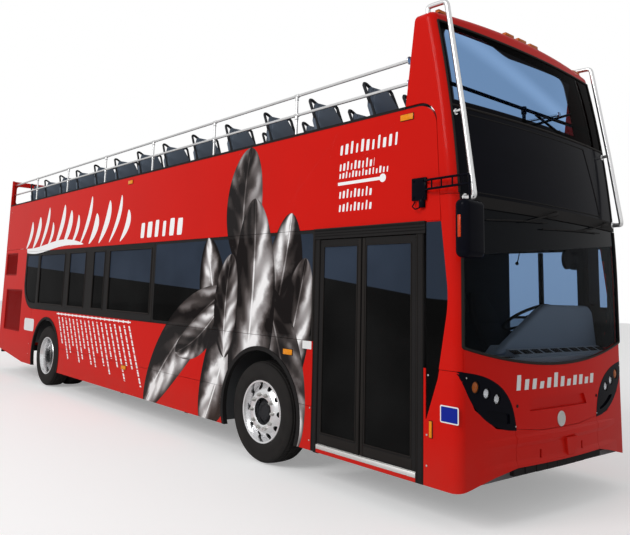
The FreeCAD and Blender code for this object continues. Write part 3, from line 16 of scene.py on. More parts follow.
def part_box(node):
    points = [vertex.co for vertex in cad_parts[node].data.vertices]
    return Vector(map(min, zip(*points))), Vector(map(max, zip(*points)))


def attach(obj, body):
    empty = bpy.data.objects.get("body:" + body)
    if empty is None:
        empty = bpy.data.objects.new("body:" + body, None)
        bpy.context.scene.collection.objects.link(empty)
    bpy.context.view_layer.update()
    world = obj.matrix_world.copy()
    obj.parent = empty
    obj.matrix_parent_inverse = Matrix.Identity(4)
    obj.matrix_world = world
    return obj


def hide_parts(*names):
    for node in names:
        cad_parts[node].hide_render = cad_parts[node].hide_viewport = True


LOG = logging.getLogger("bus")

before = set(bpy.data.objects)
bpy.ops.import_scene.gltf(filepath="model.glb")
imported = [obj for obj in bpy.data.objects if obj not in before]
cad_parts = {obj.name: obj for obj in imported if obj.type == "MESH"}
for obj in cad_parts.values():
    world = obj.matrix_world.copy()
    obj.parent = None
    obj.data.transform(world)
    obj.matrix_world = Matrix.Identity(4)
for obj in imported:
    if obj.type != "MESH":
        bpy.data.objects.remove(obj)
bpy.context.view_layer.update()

FRONT_AXLE = 2.921
WHEELBASE = 5.842
REAR_AXLE = FRONT_AXLE - WHEELBASE
HALF_WIDTH = 1.275
AXLE_HEIGHT = 0.486
SEAT_FOOT = 0.480

Colour = tuple[float, float, float]
Point = tuple[float, float, float]
Pair = tuple[float, float]
Outline = Sequence[Pair]
Vert = bmesh.types.BMVert
Verts = list[Vert]
Number = Union[float, "Value"]
Inputs = dict[Union[int, str], Any]


def station(x: float) -> float:
    """Return the frame's X for a distance ahead of the front axle."""
    return x + FRONT_AXLE


# Shader maths


def operator(operation: str, reflected: bool = False) -> Callable[..., "Value"]:
    """Return a method that adds one Math node.

    Args:
        operation: The node's operation.
        reflected: Whether the other value comes first.

    Returns:
        The method.
    """
    def method(value: "Value", other: Number = 0.0) -> "Value":
        """Return the node's result."""
        first, second = (other, value) if reflected else (value, other)
        return value.graph.add("ShaderNodeMath", {"operation": operation}, {0: first, 1: second})

    return method


class Value:
    """A shader socket that takes part in Python expressions.

    size drops the sign, above and below take the greater and the lesser of two values, and wrapped
    is the remainder within a period.
    """

    def __init__(self, graph: "Graph", socket: bpy.types.NodeSocket) -> None:
        """Wrap one output socket of a graph."""
        self.graph = graph
        self.socket = socket

    __add__ = operator("ADD")
    __radd__ = operator("ADD", True)
    __sub__ = operator("SUBTRACT")
    __rsub__ = operator("SUBTRACT", True)
    __mul__ = operator("MULTIPLY")
    __rmul__ = operator("MULTIPLY", True)
    __truediv__ = operator("DIVIDE")
    __gt__ = operator("GREATER_THAN")
    __lt__ = operator("LESS_THAN")
    power = operator("POWER")
    sine = operator("SINE")
    size = operator("ABSOLUTE")
    above = operator("MAXIMUM")
    below = operator("MINIMUM")
    wrapped = operator("FLOORED_MODULO")


class Graph:
    """The node tree of one material or world."""

    def __init__(self, tree: bpy.types.NodeTree) -> None:
        """Empty the tree and keep it."""
        self.tree = tree
        tree.nodes.clear()

    def add(self, kind: str, settings: dict[str, Any] | None = None, inputs: Inputs | None = None,
            output: int | str = 0) -> Value:
        """Add a node.

        Args:
            kind: Blender's name of the node type.
            settings: Properties, set first; "stops" holds a ramp's (place, colour) pairs.
            inputs: Values or links of its sockets, by name or number.
            output: The socket that is returned.

        Returns:
            The chosen output.
        """
        node = self.tree.nodes.new(kind)
        for name, value in (settings or {}).items():
            if name == "stops":
                self._set_stops(node.color_ramp, value)
            else:
                setattr(node, name, value)
        for name, value in (inputs or {}).items():
            if isinstance(value, Value):
                self.tree.links.new(value.socket, node.inputs[name])
            else:
                node.inputs[name].default_value = value
        return Value(self, node.outputs[output]) if len(node.outputs) else Value(self, node.inputs[0])

    @staticmethod
    def _set_stops(ramp: bpy.types.ColorRamp, stops: Sequence[tuple[float, Colour]]) -> None:
        """Give a colour ramp its stops.

        Args:
            ramp: The ramp.
            stops: (place, colour) of each.
        """
        while len(ramp.elements) < len(stops):
            ramp.elements.new(0.5)
        for element, (place, colour) in zip(ramp.elements, stops):
            element.position = place
            element.color = (*colour, 1.0)

    def coordinates(self) -> Value:
        """Return the object coordinates, which are the frame's metres."""
        return self.add("ShaderNodeTexCoord", output="Object")

    def axis(self, name: str) -> Value:
        """Return one object coordinate: X, Y or Z."""
        return self.add("ShaderNodeSeparateXYZ", inputs={0: self.coordinates()}, output=name)

    def noise(self, scale: float, detail: float = 3.0, stretch: Point = (1.0, 1.0, 1.0)) -> Value:
        """Return a noise between 0 and 1 at a scale in waves per metre."""
        placed = self.add("ShaderNodeMapping", inputs={"Vector": self.coordinates(), "Scale": stretch})
        return self.add("ShaderNodeTexNoise", inputs={"Vector": placed, "Scale": scale, "Detail": detail})

    def flecks(self, scale: float) -> Value:
        """Return the distance to the nearest of scattered points."""
        return self.add("ShaderNodeTexVoronoi", inputs={"Vector": self.coordinates(), "Scale": scale})

    def ramp(self, factor: Value, stops: Sequence[tuple[float, Colour]]) -> Value:
        """Return a colour ramp's colour."""
        return self.add("ShaderNodeValToRGB", {"stops": stops}, {0: factor})

    def step(self, value: Value, low: float, high: float) -> Value:
        """Return 0 below low, 1 above high and a smooth rise between."""
        return self.add("ShaderNodeMapRange", {"interpolation_type": "SMOOTHSTEP"},
                        {"Value": value, "From Min": low, "From Max": high})

    def blend(self, factor: Number, first: Value | Colour, second: Value | Colour) -> Value:
        """Return a mix of two colours."""
        full = [colour if isinstance(colour, Value) else (*colour, 1.0) for colour in (first, second)]
        return self.add("ShaderNodeMix", {"data_type": "RGBA"}, {0: factor, 6: full[0], 7: full[1]}, output=2)

    def bump(self, height: Value, strength: float, distance: float) -> Value:
        """Return a normal bent by a height."""
        return self.add("ShaderNodeBump",
                        inputs={"Height": height, "Strength": strength, "Distance": distance})


def scaled(colour: Colour, factor: float, lift: float = 0.0) -> Colour:
    """Return a colour times a factor, lifted."""
    return tuple(c * factor + lift for c in colour)


# Finishes


@dataclass(frozen=True)
class Finish:
    """What one surface looks like. A subclass draws it in build."""

    name: str
    colour: Colour
    roughness: float = 0.4

    def material(self) -> bpy.types.Material:
        """Return the finish's material, made once.

        Returns:
            The material.
        """
        found = bpy.data.materials.get(self.name)
        if found:
            return found
        made = bpy.data.materials.new(self.name)
        made.use_nodes = True
        made.diffuse_color = (*self.colour, 1.0)
        graph = Graph(made.node_tree)
        graph.add("ShaderNodeOutputMaterial", inputs={"Surface": self.surface(graph)})
        return made

    def surface(self, graph: Graph) -> Value:
        """Return the finish's shader."""
        return graph.add("ShaderNodeBsdfPrincipled", inputs=self.build(graph))

    def build(self, graph: Graph) -> Inputs:
        """Return the shader's inputs."""
        raise NotImplementedError


@dataclass(frozen=True)
class Paint(Finish):
    """Glossy coach paint under lacquer, a little dusty near the road."""

    roughness: float = 0.3
    dust: float = 0.16
    dust_heights: Pair = (0.28, 0.80)
    dust_colour: Colour = (0.22, 0.12, 0.09)
    printed: bool = False
    shine: float = 0.10

    def build(self, graph: Graph) -> Inputs:
        """Draw the paint.

        Args:
            graph: The material's graph.

        Returns:
            The shader's inputs.
        """
        patch = graph.noise(0.9, 2.0)
        base = graph.blend(patch, scaled(self.colour, 0.88), self.colour)
        if self.printed:
            _, base = LIVERY.over(graph, base)
        low = (1.0 - graph.step(graph.axis("Z"), *self.dust_heights)) * graph.noise(5.0, 6.0) * self.dust
        base = graph.blend(low, base, self.dust_colour)
        peel = graph.noise(420.0, 1.0)
        return {"Base Color": base, "Roughness": patch * 0.06 + low * 0.5 + self.roughness,
                "Specular IOR Level": self.shine * 0.3, "Coat Weight": self.shine * 0.8,
                "Coat Roughness": 0.05, "Normal": graph.bump(peel, 0.05, 0.0004)}


@dataclass(frozen=True)
class Leaf:
    """One broad folded metal leaf of the printed pattern.

    foot and tip are (station, height) in metres, half is the greatest half-width, bend bows the
    midrib to the left of its direction, and phase turns the light on it.
    """

    foot: Pair
    tip: Pair
    half: float
    bend: float = 0.0
    phase: float = 0.0


@dataclass(frozen=True)
class StrokeRow:
    """A row of leaning white strokes: (first, last) station, foot height and tallest stroke.

    taper is small for blunt bars and near 1 for pointed strokes, and bow bends the strokes.
    """

    span: Pair
    foot: float
    height: float
    pitch: float
    fill: float = 0.56
    lean: float = 0.10
    vary: float = 0.30
    taper: float = 0.06
    bow: float = 0.0


@dataclass(frozen=True)
class Livery:
    """Printed pattern on the sides: a spray of metal leaves, white strokes, bars and broken lines.

    underline is (first, last) station, height and half-thickness, line and route are (first, last)
    station and height, and dot, thin, spot and rung are radii and half-widths of what is drawn on them.
    """

    leaves: tuple[Leaf, ...] = (
        Leaf((-0.35, 1.90), (-0.27, 3.18), 0.315, 0.05, 0.4),
        Leaf((-0.10, 0.60), (0.44, 2.42), 0.31, -0.07, 1.9),
        Leaf((-0.42, 0.70), (-1.02, 2.24), 0.29, 0.09, 3.2),
        Leaf((0.10, 0.25), (0.66, 1.98), 0.25, -0.05, 5.6),
        Leaf((-0.62, 1.66), (-2.32, 0.20), 0.33, -0.16, 2.4),
        Leaf((-0.72, 1.50), (-1.62, 0.92), 0.20, 0.08, 0.9),
        Leaf((-0.40, 1.70), (-0.98, 0.18), 0.33, 0.05, 4.4),
        Leaf((0.02, 1.75), (0.55, 0.20), 0.29, 0.06, 1.1),
        Leaf((-0.33, 0.30), (-0.16, 2.62), 0.37, -0.08, 5.3),
        Leaf((-0.62, 0.95), (-0.55, 2.05), 0.21, 0.05, 0.2))
    rows: tuple[StrokeRow, ...] = (
        StrokeRow((-7.34, -3.10), 2.29, 0.74, 0.353, 0.52, 0.50, 0.42, 0.62, 0.09),
        StrokeRow((-2.72, -1.58), 2.31, 0.22, 0.190, 0.64, 0.08, 0.12),
        StrokeRow((1.07, 1.78), 2.90, 0.115, 0.064), StrokeRow((1.07, 1.50), 2.755, 0.080, 0.046),
        StrokeRow((1.07, 1.66), 2.685, 0.060, 0.040), StrokeRow((1.07, 1.48), 2.505, 0.080, 0.046),
        StrokeRow((1.07, 1.48), 2.385, 0.080, 0.046))
    greys: tuple[tuple[float, Colour], ...] = (
        (0.22, (0.012, 0.010, 0.010)), (0.46, (0.055, 0.046, 0.044)), (0.64, (0.150, 0.132, 0.130)),
        (0.82, (0.380, 0.360, 0.360)), (0.98, (0.860, 0.850, 0.850)))
    white: Colour = (0.86, 0.86, 0.86)
    underline: tuple[float, float, float, float] = (-7.52, -4.55, 2.30, 0.060)
    line: tuple[float, float, float] = (1.066, 1.600, 2.638)
    line_half: float = 0.014
    dot: float = 0.036
    route: tuple[float, float, float] = (-5.42, -2.80, 1.196)
    thin: float = 0.009
    spot: float = 0.020
    rung: float = 0.021
    rungs: int = 18
    rung_lean: float = -0.57
    inner_face: float = 1.250

    def over(self, graph: Graph, base: Value) -> tuple[Value, Value]:
        """Return the pattern's coverage and a base colour with the pattern laid over it."""
        cover, art = self.art(graph)
        return cover, graph.blend(cover, base, art)

    @staticmethod
    def _hump(along: Value) -> Value:
        """Return a hill that is 0 at both ends of a run from 0 to 1, and 1 in its middle."""
        return (along * (1.0 - along) * 4.0).above(0.0)

    def _leaf(self, x: Value, z: Value, rough: Value, item: Leaf) -> tuple[Value, Value]:
        """Draw one leaf.

        Args:
            x: Station.
            z: Height.
            rough: Noise that breaks the folds.
            item: The leaf.

        Returns:
            Its coverage and its grey.
        """
        (x0, z0), (x1, z1) = item.foot, item.tip
        dx, dz = x1 - x0, z1 - z0
        length = math.hypot(dx, dz)
        along = ((x - x0) * dx + (z - z0) * dz) / length ** 2
        hump = self._hump(along)
        across = ((z - z0) * dx - (x - x0) * dz) / length - hump * item.bend
        turned = across / (hump.power(0.55) * item.half + 0.0001)
        near = turned.below(1.2).above(-1.2)
        fold = (near * 2.7 + along * 3.4 + rough * 3.2 + item.phase).sine() * 0.5 + 0.5
        veins = (along * 34.0 - near.size() * 9.0 + rough * 7.0).sine() * 0.10
        rib = turned.size() < 0.035
        shade = fold * 0.74 + rough * 0.42 + veins + rib * 0.25 - near.power(4.0) * 0.42
        return turned.size() < 1.0, shade

    def art(self, graph: Graph) -> tuple[Value, Value]:
        """Draw the whole pattern.

        Args:
            graph: The material's graph.

        Returns:
            Its coverage and its colour.
        """
        x, z = graph.axis("X") - FRONT_AXLE, graph.axis("Z")
        rough = graph.noise(3.6, 7.0)
        cover, grey = self._leaf(x, z, rough, self.leaves[0])
        for item in self.leaves[1:]:
            inside, shade = self._leaf(x, z, rough, item)
            grey = grey + (shade - grey) * inside
            cover = cover.above(inside)
        white = self._lines(x, z)
        for row in self.rows:
            white = white.above(self._strokes(x, z, row))
        outside = graph.axis("Y").size() > self.inner_face
        return cover.above(white) * outside, graph.blend(white, graph.ramp(grey, self.greys), self.white)

    def _strokes(self, x: Value, z: Value, row: StrokeRow) -> Value:
        """Draw one row of strokes.

        Args:
            x: Station.
            z: Height.
            row: The row.

        Returns:
            1 on the strokes.
        """
        rise = z - row.foot
        run = x - rise * row.lean - row.span[0]
        cell = run.wrapped(row.pitch)
        number = (run - cell) / row.pitch
        tall = ((number * 2.4 + 0.6).sine() * 0.5 + 0.5) * -row.vary * row.height + row.height
        hump = self._hump(rise / tall)
        middle = cell - row.pitch / 2 - hump * row.bow
        wide = ((number * 1.7).sine() * 0.2 + 0.8) * (row.fill * row.pitch / 2)
        inside = middle.size() < hump.power(row.taper) * wide
        return inside * (run > 0.0) * (run < row.span[1] - row.span[0])

    def _lines(self, x: Value, z: Value) -> Value:
        """Draw the underline, the dotted line, and the route's line with its broken rungs.

        Args:
            x: Station.
            z: Height.

        Returns:
            1 on the lines.
        """
        u0, u1, level, half = self.underline
        along = (x - u0) / (u1 - u0)
        under = (z - level - (along * math.tau).sine() * -0.05).size() < self._hump(along).power(0.6) * half
        x0, x1, height = self.line
        bar = ((z - height).size() < self.line_half) * (x > x0) * (x < x1)
        dot = (x - x1) * (x - x1) + (z - height) * (z - height) < self.dot ** 2
        r0, r1, level = self.route
        pitch = (r1 - r0) / self.rungs
        place = (x - r0).wrapped(pitch) - pitch / 2
        within = (x > r0) * (x < r1)
        thin = ((z - level).size() < self.thin) * within
        spots = (place * place + (z - level) * (z - level) < self.spot ** 2) * within
        run = x - (z - level) * self.rung_lean - r0
        cell = run.wrapped(pitch)
        number = (run - cell) / pitch
        foot = (number * 4.3 + 0.8).sine() * 0.13 - number * 0.006 + 0.64
        dashes = (z * 11.0 + number * 0.37).wrapped(1.0) > 0.16
        dashes = dashes * ((z * 27.0 + number * 0.71).wrapped(1.0) > 0.14)
        rungs = ((cell - pitch / 2).size() < self.rung) * (z < level - 0.05) * (z > foot) * dashes
        rungs = rungs * (run > 0.0) * (run < r1 - r0)
        return under.above(bar).above(dot).above(thin).above(spots).above(rungs)


LIVERY = Livery()


@dataclass(frozen=True)
class Moulding(Finish):
    """Grained plastic or rubber with faded patches."""

    grain: float = 260.0
    depth: float = 0.0006
    fade: float = 0.5
    printed: bool = False

    def build(self, graph: Graph) -> Inputs:
        """Draw the plastic or the rubber.

        Args:
            graph: The material's graph.

        Returns:
            The shader's inputs.
        """
        patch, grain = graph.noise(3.0, 5.0), graph.noise(self.grain, 2.0)
        pale = scaled(self.colour, 1.0 + self.fade, 0.004)
        base = graph.blend(patch * 0.7 + grain * 0.2, self.colour, pale)
        if self.printed:
            _, base = LIVERY.over(graph, base)
        return {"Base Color": base, "Roughness": patch * 0.18 + self.roughness, "Specular IOR Level": 0.05,
                "Normal": graph.bump(grain, 0.5, self.depth)}


@dataclass(frozen=True)
class Gloss(Finish):
    """Polished black panel or lacquered plastic with faint wipe marks."""

    roughness: float = 0.09

    def build(self, graph: Graph) -> Inputs:
        """Draw the panel.

        Args:
            graph: The material's graph.

        Returns:
            The shader's inputs.
        """
        smear = graph.noise(2.2, 5.0, (1.0, 1.0, 3.0))
        base = graph.blend(smear, self.colour, scaled(self.colour, 1.6, 0.0006))
        return {"Base Color": base, "Roughness": smear * 0.10 + self.roughness, "Specular IOR Level": 0.015,
                "Coat Weight": 0.02, "Coat Roughness": 0.03}


@dataclass(frozen=True)
class Metal(Finish):
    """Bright metal with a brushed or cast surface."""

    stretch: Point = (1.0, 1.0, 1.0)
    grain: float = 90.0
    tarnish: float = 0.15

    def build(self, graph: Graph) -> Inputs:
        """Draw the metal.

        Args:
            graph: The material's graph.

        Returns:
            The shader's inputs.
        """
        brush, cloud = graph.noise(self.grain, 4.0, self.stretch), graph.noise(4.0, 3.0)
        base = graph.blend(cloud, scaled(self.colour, 1.0 - self.tarnish), self.colour)
        return {"Base Color": base, "Metallic": 1.0, "Normal": graph.bump(brush, 0.12, 0.0005),
                "Roughness": brush * 0.12 + cloud * 0.06 + self.roughness}


@dataclass(frozen=True)
class Glass(Finish):
    """Tinted pane that lets the inside show through a little.

    The two tints are a painted reflection: dark ground below a height and sky above it. That height
    falls ahead by slope, and on printed sides drops further ahead of the driver's pane. border is the
    half-width and the head of the clear part inside a printed black edge, and cab is the finish beside
    the driver. pane and quarter say where the driver sits: two stations, and a station and a height.
    """

    alpha: float = 0.5
    # upper is the painted reflection of the sky, above the slanted height
    upper: Colour = (0.10, 0.13, 0.18)
    change: float = 1.9
    softness: float = 0.006
    slope: float = 0.0
    front_drop: float = 0.165
    roughness: float = 0.03
    gloss: float = 0.008
    border: Pair | None = None
    border_lean: float = 0.098
    border_black: Colour = (0.005, 0.006, 0.008)
    printed: bool = False
    cab: Finish | None = None
    pane: Pair = (0.79, 2.0)
    quarter: Pair = (2.165, 1.62)

    def surface(self, graph: Graph) -> Value:
        """Draw the pane, another one beside the driver.

        Args:
            graph: The material's graph.

        Returns:
            The shader.
        """
        pane = super().surface(graph)
        if self.cab is None:
            return pane
        x = graph.axis("X")
        ahead = (x > station(self.quarter[0])) * (graph.axis("Z") > self.quarter[1])
        beside = (x > station(self.pane[0])) * (graph.axis("Y") > 0.0)
        beside = beside * (x < station(self.pane[1])).above(ahead)
        return graph.add("ShaderNodeMixShader", inputs={0: beside, 1: pane, 2: self.cab.surface(graph)})

    def build(self, graph: Graph) -> Inputs:
        """Draw the tinted pane.

        Args:
            graph: The material's graph.

        Returns:
            The shader's inputs.
        """
        x, z = graph.axis("X"), graph.axis("Z")
        # painted reflection: sky-coloured above this slanted height, dark ground below it, blurred by
        # softness
        height = z + x * self.slope - (x > station(self.pane[1])) * self.printed * self.front_drop
        mix = graph.step(height, self.change - self.softness, self.change + self.softness)
        haze = graph.noise(1.1, 3.0)
        low = graph.blend(graph.step(haze, 0.35, 0.75), self.colour, scaled(self.colour, 2.2))
        high = graph.blend(graph.step(haze, 0.35, 0.70), self.upper, scaled(self.upper, 1.35))
        base, alpha = graph.blend(mix, low, high), self.alpha
        if self.border is not None:
            half, head = self.border
            edge = graph.step(graph.axis("Y").size(), half - 0.02, half + 0.02)
            rise = z - graph.axis("Y") * self.border_lean
            edge = edge.above(graph.step(rise, head - 0.010, head + 0.010))
            base, alpha = graph.blend(edge, base, self.border_black), edge.above(alpha)
        if self.printed:
            cover, base = LIVERY.over(graph, base)
            alpha = cover.above(alpha)
        return {"Base Color": base, "Roughness": haze * 0.05 + self.roughness, "Alpha": alpha,
                "Specular IOR Level": self.gloss}


@dataclass(frozen=True)
class Tint(Finish):
    """Clear pane that colours what lies behind it, inside a printed black border.

    dip is where the head of the clear part begins and ends to fall, how deep, and its slope beyond.
    The pale diagonal streak is a painted reflection, given as a point of it, its slope and its reach.
    """

    roughness: float = 0.02
    clear_y: Pair = (-1.175, 0.606)
    clear_z: Pair = (3.205, 3.845)
    corner: float = 0.10
    dip: tuple[float, float, float, float] = (-0.700, -0.310, 0.090, 0.034)
    streak: tuple[float, float, float, float] = (-0.10, 3.54, -0.33, 0.170)
    border_black: Colour = (0.004, 0.004, 0.005)

    def build(self, graph: Graph) -> Inputs:
        """Draw the pane with its border.

        Args:
            graph: The material's graph.

        Returns:
            The shader's inputs.
        """
        y, z = graph.axis("Y"), graph.axis("Z")
        start, end, depth, slope = self.dip
        top = (y - end).above(0.0) * slope - graph.step(y, start, end) * depth + self.clear_z[1]
        middle, reach = sum(self.clear_y) / 2, (self.clear_y[1] - self.clear_y[0]) / 2
        aside = ((y - middle).size() - (reach - self.corner)).above(0.0)
        over = (z - (top - self.corner)).above(0.0)
        outside = (aside * aside + over * over > self.corner ** 2).above(z < self.clear_z[0])
        sheen = graph.noise(0.5, 1.0, (1.0, 1.0, 0.6))
        tint = graph.blend(graph.step(sheen, 0.42, 0.62), self.colour, scaled(self.colour, 1.12))
        # painted reflection: a pale diagonal streak laid over the tint
        y0, z0, slope, wide = self.streak
        off = (z - z0 - (y - y0) * slope).size()
        tint = graph.blend(graph.step(off, 0.0, wide), scaled(self.colour, 1.25, 0.02), tint)
        return {"Base Color": graph.blend(outside, tint, self.border_black),
                "Roughness": sheen * 0.01 + self.roughness, "Transmission Weight": 1.0, "IOR": 1.03,
                "Specular IOR Level": 0.3}


@dataclass(frozen=True)
class Lens(Finish):
    """Ribbed lamp lens."""

    ribs: float = 150.0
    alpha: float = 1.0
    roughness: float = 0.12

    def build(self, graph: Graph) -> Inputs:
        """Draw the lens.

        Args:
            graph: The material's graph.

        Returns:
            The shader's inputs.
        """
        wave = graph.add("ShaderNodeTexWave", {"bands_direction": "DIAGONAL"},
                         {"Vector": graph.coordinates(), "Scale": self.ribs})
        base = graph.blend(graph.flecks(90.0), self.colour, scaled(self.colour, 0.7))
        return {"Base Color": base, "Roughness": wave * 0.1 + self.roughness, "Alpha": self.alpha,
                "Coat Weight": 0.06, "Coat Roughness": 0.03, "Specular IOR Level": 0.15,
                "Normal": graph.bump(wave, 0.2, 0.0008)}


@dataclass(frozen=True)
class TyreRubber(Finish):
    """Tyre rubber, greyer where the road dust sits."""

    roughness: float = 0.72
    dust_colour: Colour = (0.045, 0.041, 0.038)

    def build(self, graph: Graph) -> Inputs:
        """Draw the rubber.

        Args:
            graph: The material's graph.

        Returns:
            The shader's inputs.
        """
        dust, speck = graph.noise(9.0, 6.0), graph.noise(300.0, 2.0)
        base = graph.blend(dust * 0.40, self.colour, self.dust_colour)
        return {"Base Color": base, "Roughness": dust * 0.15 + self.roughness, "Specular IOR Level": 0.12,
                "Normal": graph.bump(speck, 0.4, 0.0012)}


@dataclass(frozen=True)
class DeckVinyl(Finish):
    """Hard-wearing deck covering with scattered flecks."""

    roughness: float = 0.6

    def build(self, graph: Graph) -> Inputs:
        """Draw the covering.

        Args:
            graph: The material's graph.

        Returns:
            The shader's inputs.
        """
        flecks, worn = graph.flecks(160.0), graph.noise(1.4, 5.0)
        pale = scaled(self.colour, 1.9, 0.02)
        base = graph.blend((flecks < 0.16) * 0.6, graph.blend(worn * 0.5, self.colour, pale), pale)
        return {"Base Color": base, "Roughness": worn * 0.2 + self.roughness,
                "Normal": graph.bump(flecks, 0.3, 0.0008)}


RED_PAINT = Paint("red_coach_paint", (0.60, 0.008, 0.004))
SIDE_PAINT = Paint("printed_side_paint", (0.60, 0.008, 0.004), printed=True)
MESH_RED = Paint("vent_mesh_red", (0.28, 0.004, 0.003), 0.5, shine=0.1)
TRIM = Moulding("dark_trim_rubber", (0.013, 0.012, 0.012), 0.55, fade=0.3)
RUBBER = Moulding("gasket_rubber", (0.014, 0.012, 0.011), 0.42, 180.0, 0.0005, 0.5)
BAND_TRIM = Moulding("printed_window_band", (0.013, 0.012, 0.012), 0.45, fade=0.3, printed=True)
# painted light: dash and hood are one slate moulding painted far lighter than it is, standing for light the
# shaded cab lacks; the dash lighter than the hood
DASH_PAINTED_LIGHT = Moulding("dash_slate", (0.300, 0.380, 0.490), 0.6, 220.0, 0.0006, 0.2)
HOOD_PAINTED_LIGHT = Moulding("dash_hood_slate", (0.235, 0.315, 0.440), 0.6, 220.0, 0.0006, 0.2)
CAB_LINING = Moulding("cab_lining", (0.010, 0.011, 0.013), 0.7, 120.0, 0.0006, 0.3)
LABEL_WHITE = Paint("label_white", (0.80, 0.80, 0.80), dust=0.0)
LABEL_BLUE = Paint("label_blue", (0.008, 0.020, 0.28), dust=0.0)
STRIP_ALLOY = Metal("tread_strip_alloy", (0.85, 0.84, 0.82), 0.30, (0.2, 8.0, 8.0), 80.0, 0.08)
BLACK_GLOSS = Gloss("black_gloss_panel", (0.0028, 0.0030, 0.0055))
TOP_GLASS = Tint("tinted_top_screen", (0.135, 0.235, 0.405))
CAB_GLASS = Tint("tinted_cab_pane", (0.21, 0.345, 0.57), clear_y=(-3.0, 3.0), clear_z=(-1.0, 6.0),
                 dip=(9.0, 9.1, 0.0, 0.0), streak=(1.24, 9.0, 0.0, 0.1))
# Side and door glass carry a painted reflection: sky above a slanted line, dark ground below.
SIDE_GLASS = Glass("tinted_side_glass", (0.0035, 0.0035, 0.0035), alpha=0.95, upper=(0.024, 0.033, 0.050),
                   change=1.754, slope=0.0541, printed=True, cab=CAB_GLASS)
DOOR_GLASS = Glass("tinted_door_glass", (0.005, 0.005, 0.005), alpha=0.95, upper=(0.026, 0.036, 0.055),
                   change=2.287, slope=0.1273)
FRONT_GLASS = Glass("clear_screen_glass", (0.006, 0.008, 0.010), alpha=0.24, upper=(0.010, 0.013, 0.018),
                    change=2.0, softness=0.4, gloss=0.03, border=(1.190, 2.090))
RAIL_STEEL = Metal("brushed_rail_steel", (0.80, 0.80, 0.80), 0.22, (1.0, 12.0, 12.0))
FRAME_STEEL = Moulding("chassis_black_steel", (0.022, 0.022, 0.024), 0.5, 90.0)
ALLOY = Metal("polished_wheel_alloy", (0.86, 0.86, 0.87), 0.14, (1.0, 1.0, 1.0), 60.0, 0.1)
DECK = DeckVinyl("deck_vinyl", (0.075, 0.078, 0.082))
SEAT_SHELL = Moulding("seat_shell_blue_grey", (0.085, 0.105, 0.135), 0.42, 320.0, 0.0004, 0.35)
TYRE = TyreRubber("tyre_rubber", (0.011, 0.010, 0.010))
CLEAR_LENS = Lens("clear_lamp_lens", (0.80, 0.83, 0.86), 0.1)
AMBER_LENS = Lens("amber_lamp_lens", (0.90, 0.300, 0.008), 0.15)
BROWN_LENS = Lens("indicator_lens", (0.42, 0.095, 0.006), 0.15)
ORANGE_LENS = Lens("roof_lamp_lens", (0.66, 0.150, 0.008), 0.15)
REPEATER_LENS = Lens("repeater_lens", (0.62, 0.050, 0.008), 0.15)
NUT_STEEL = Metal("plated_nut_steel", (0.62, 0.61, 0.59), 0.28, (1.0, 1.0, 1.0), 120.0, 0.3)
CHROME = Metal("lamp_bowl_chrome", (0.88, 0.88, 0.90), 0.06, (1.0, 1.0, 1.0), 40.0, 0.05)
MIRROR_SILVER = Metal("mirror_silver", (0.70, 0.74, 0.78), 0.03, (1.0, 1.0, 1.0), 8.0, 0.05)
LOOP_BLACK = Moulding("grab_loop_black", (0.020, 0.021, 0.024), 0.38, 200.0, 0.0004, 0.4)
LAMP_GLASS = Glass("lamp_cover_glass", (0.55, 0.58, 0.62), alpha=0.28, upper=(0.60, 0.63, 0.67))
RED_LENS = Lens("red_lamp_lens", (0.50, 0.008, 0.006), 0.15)
IRON = Moulding("engine_cast_iron", (0.06, 0.06, 0.06), 0.6, 60.0, 0.002)


# Studio


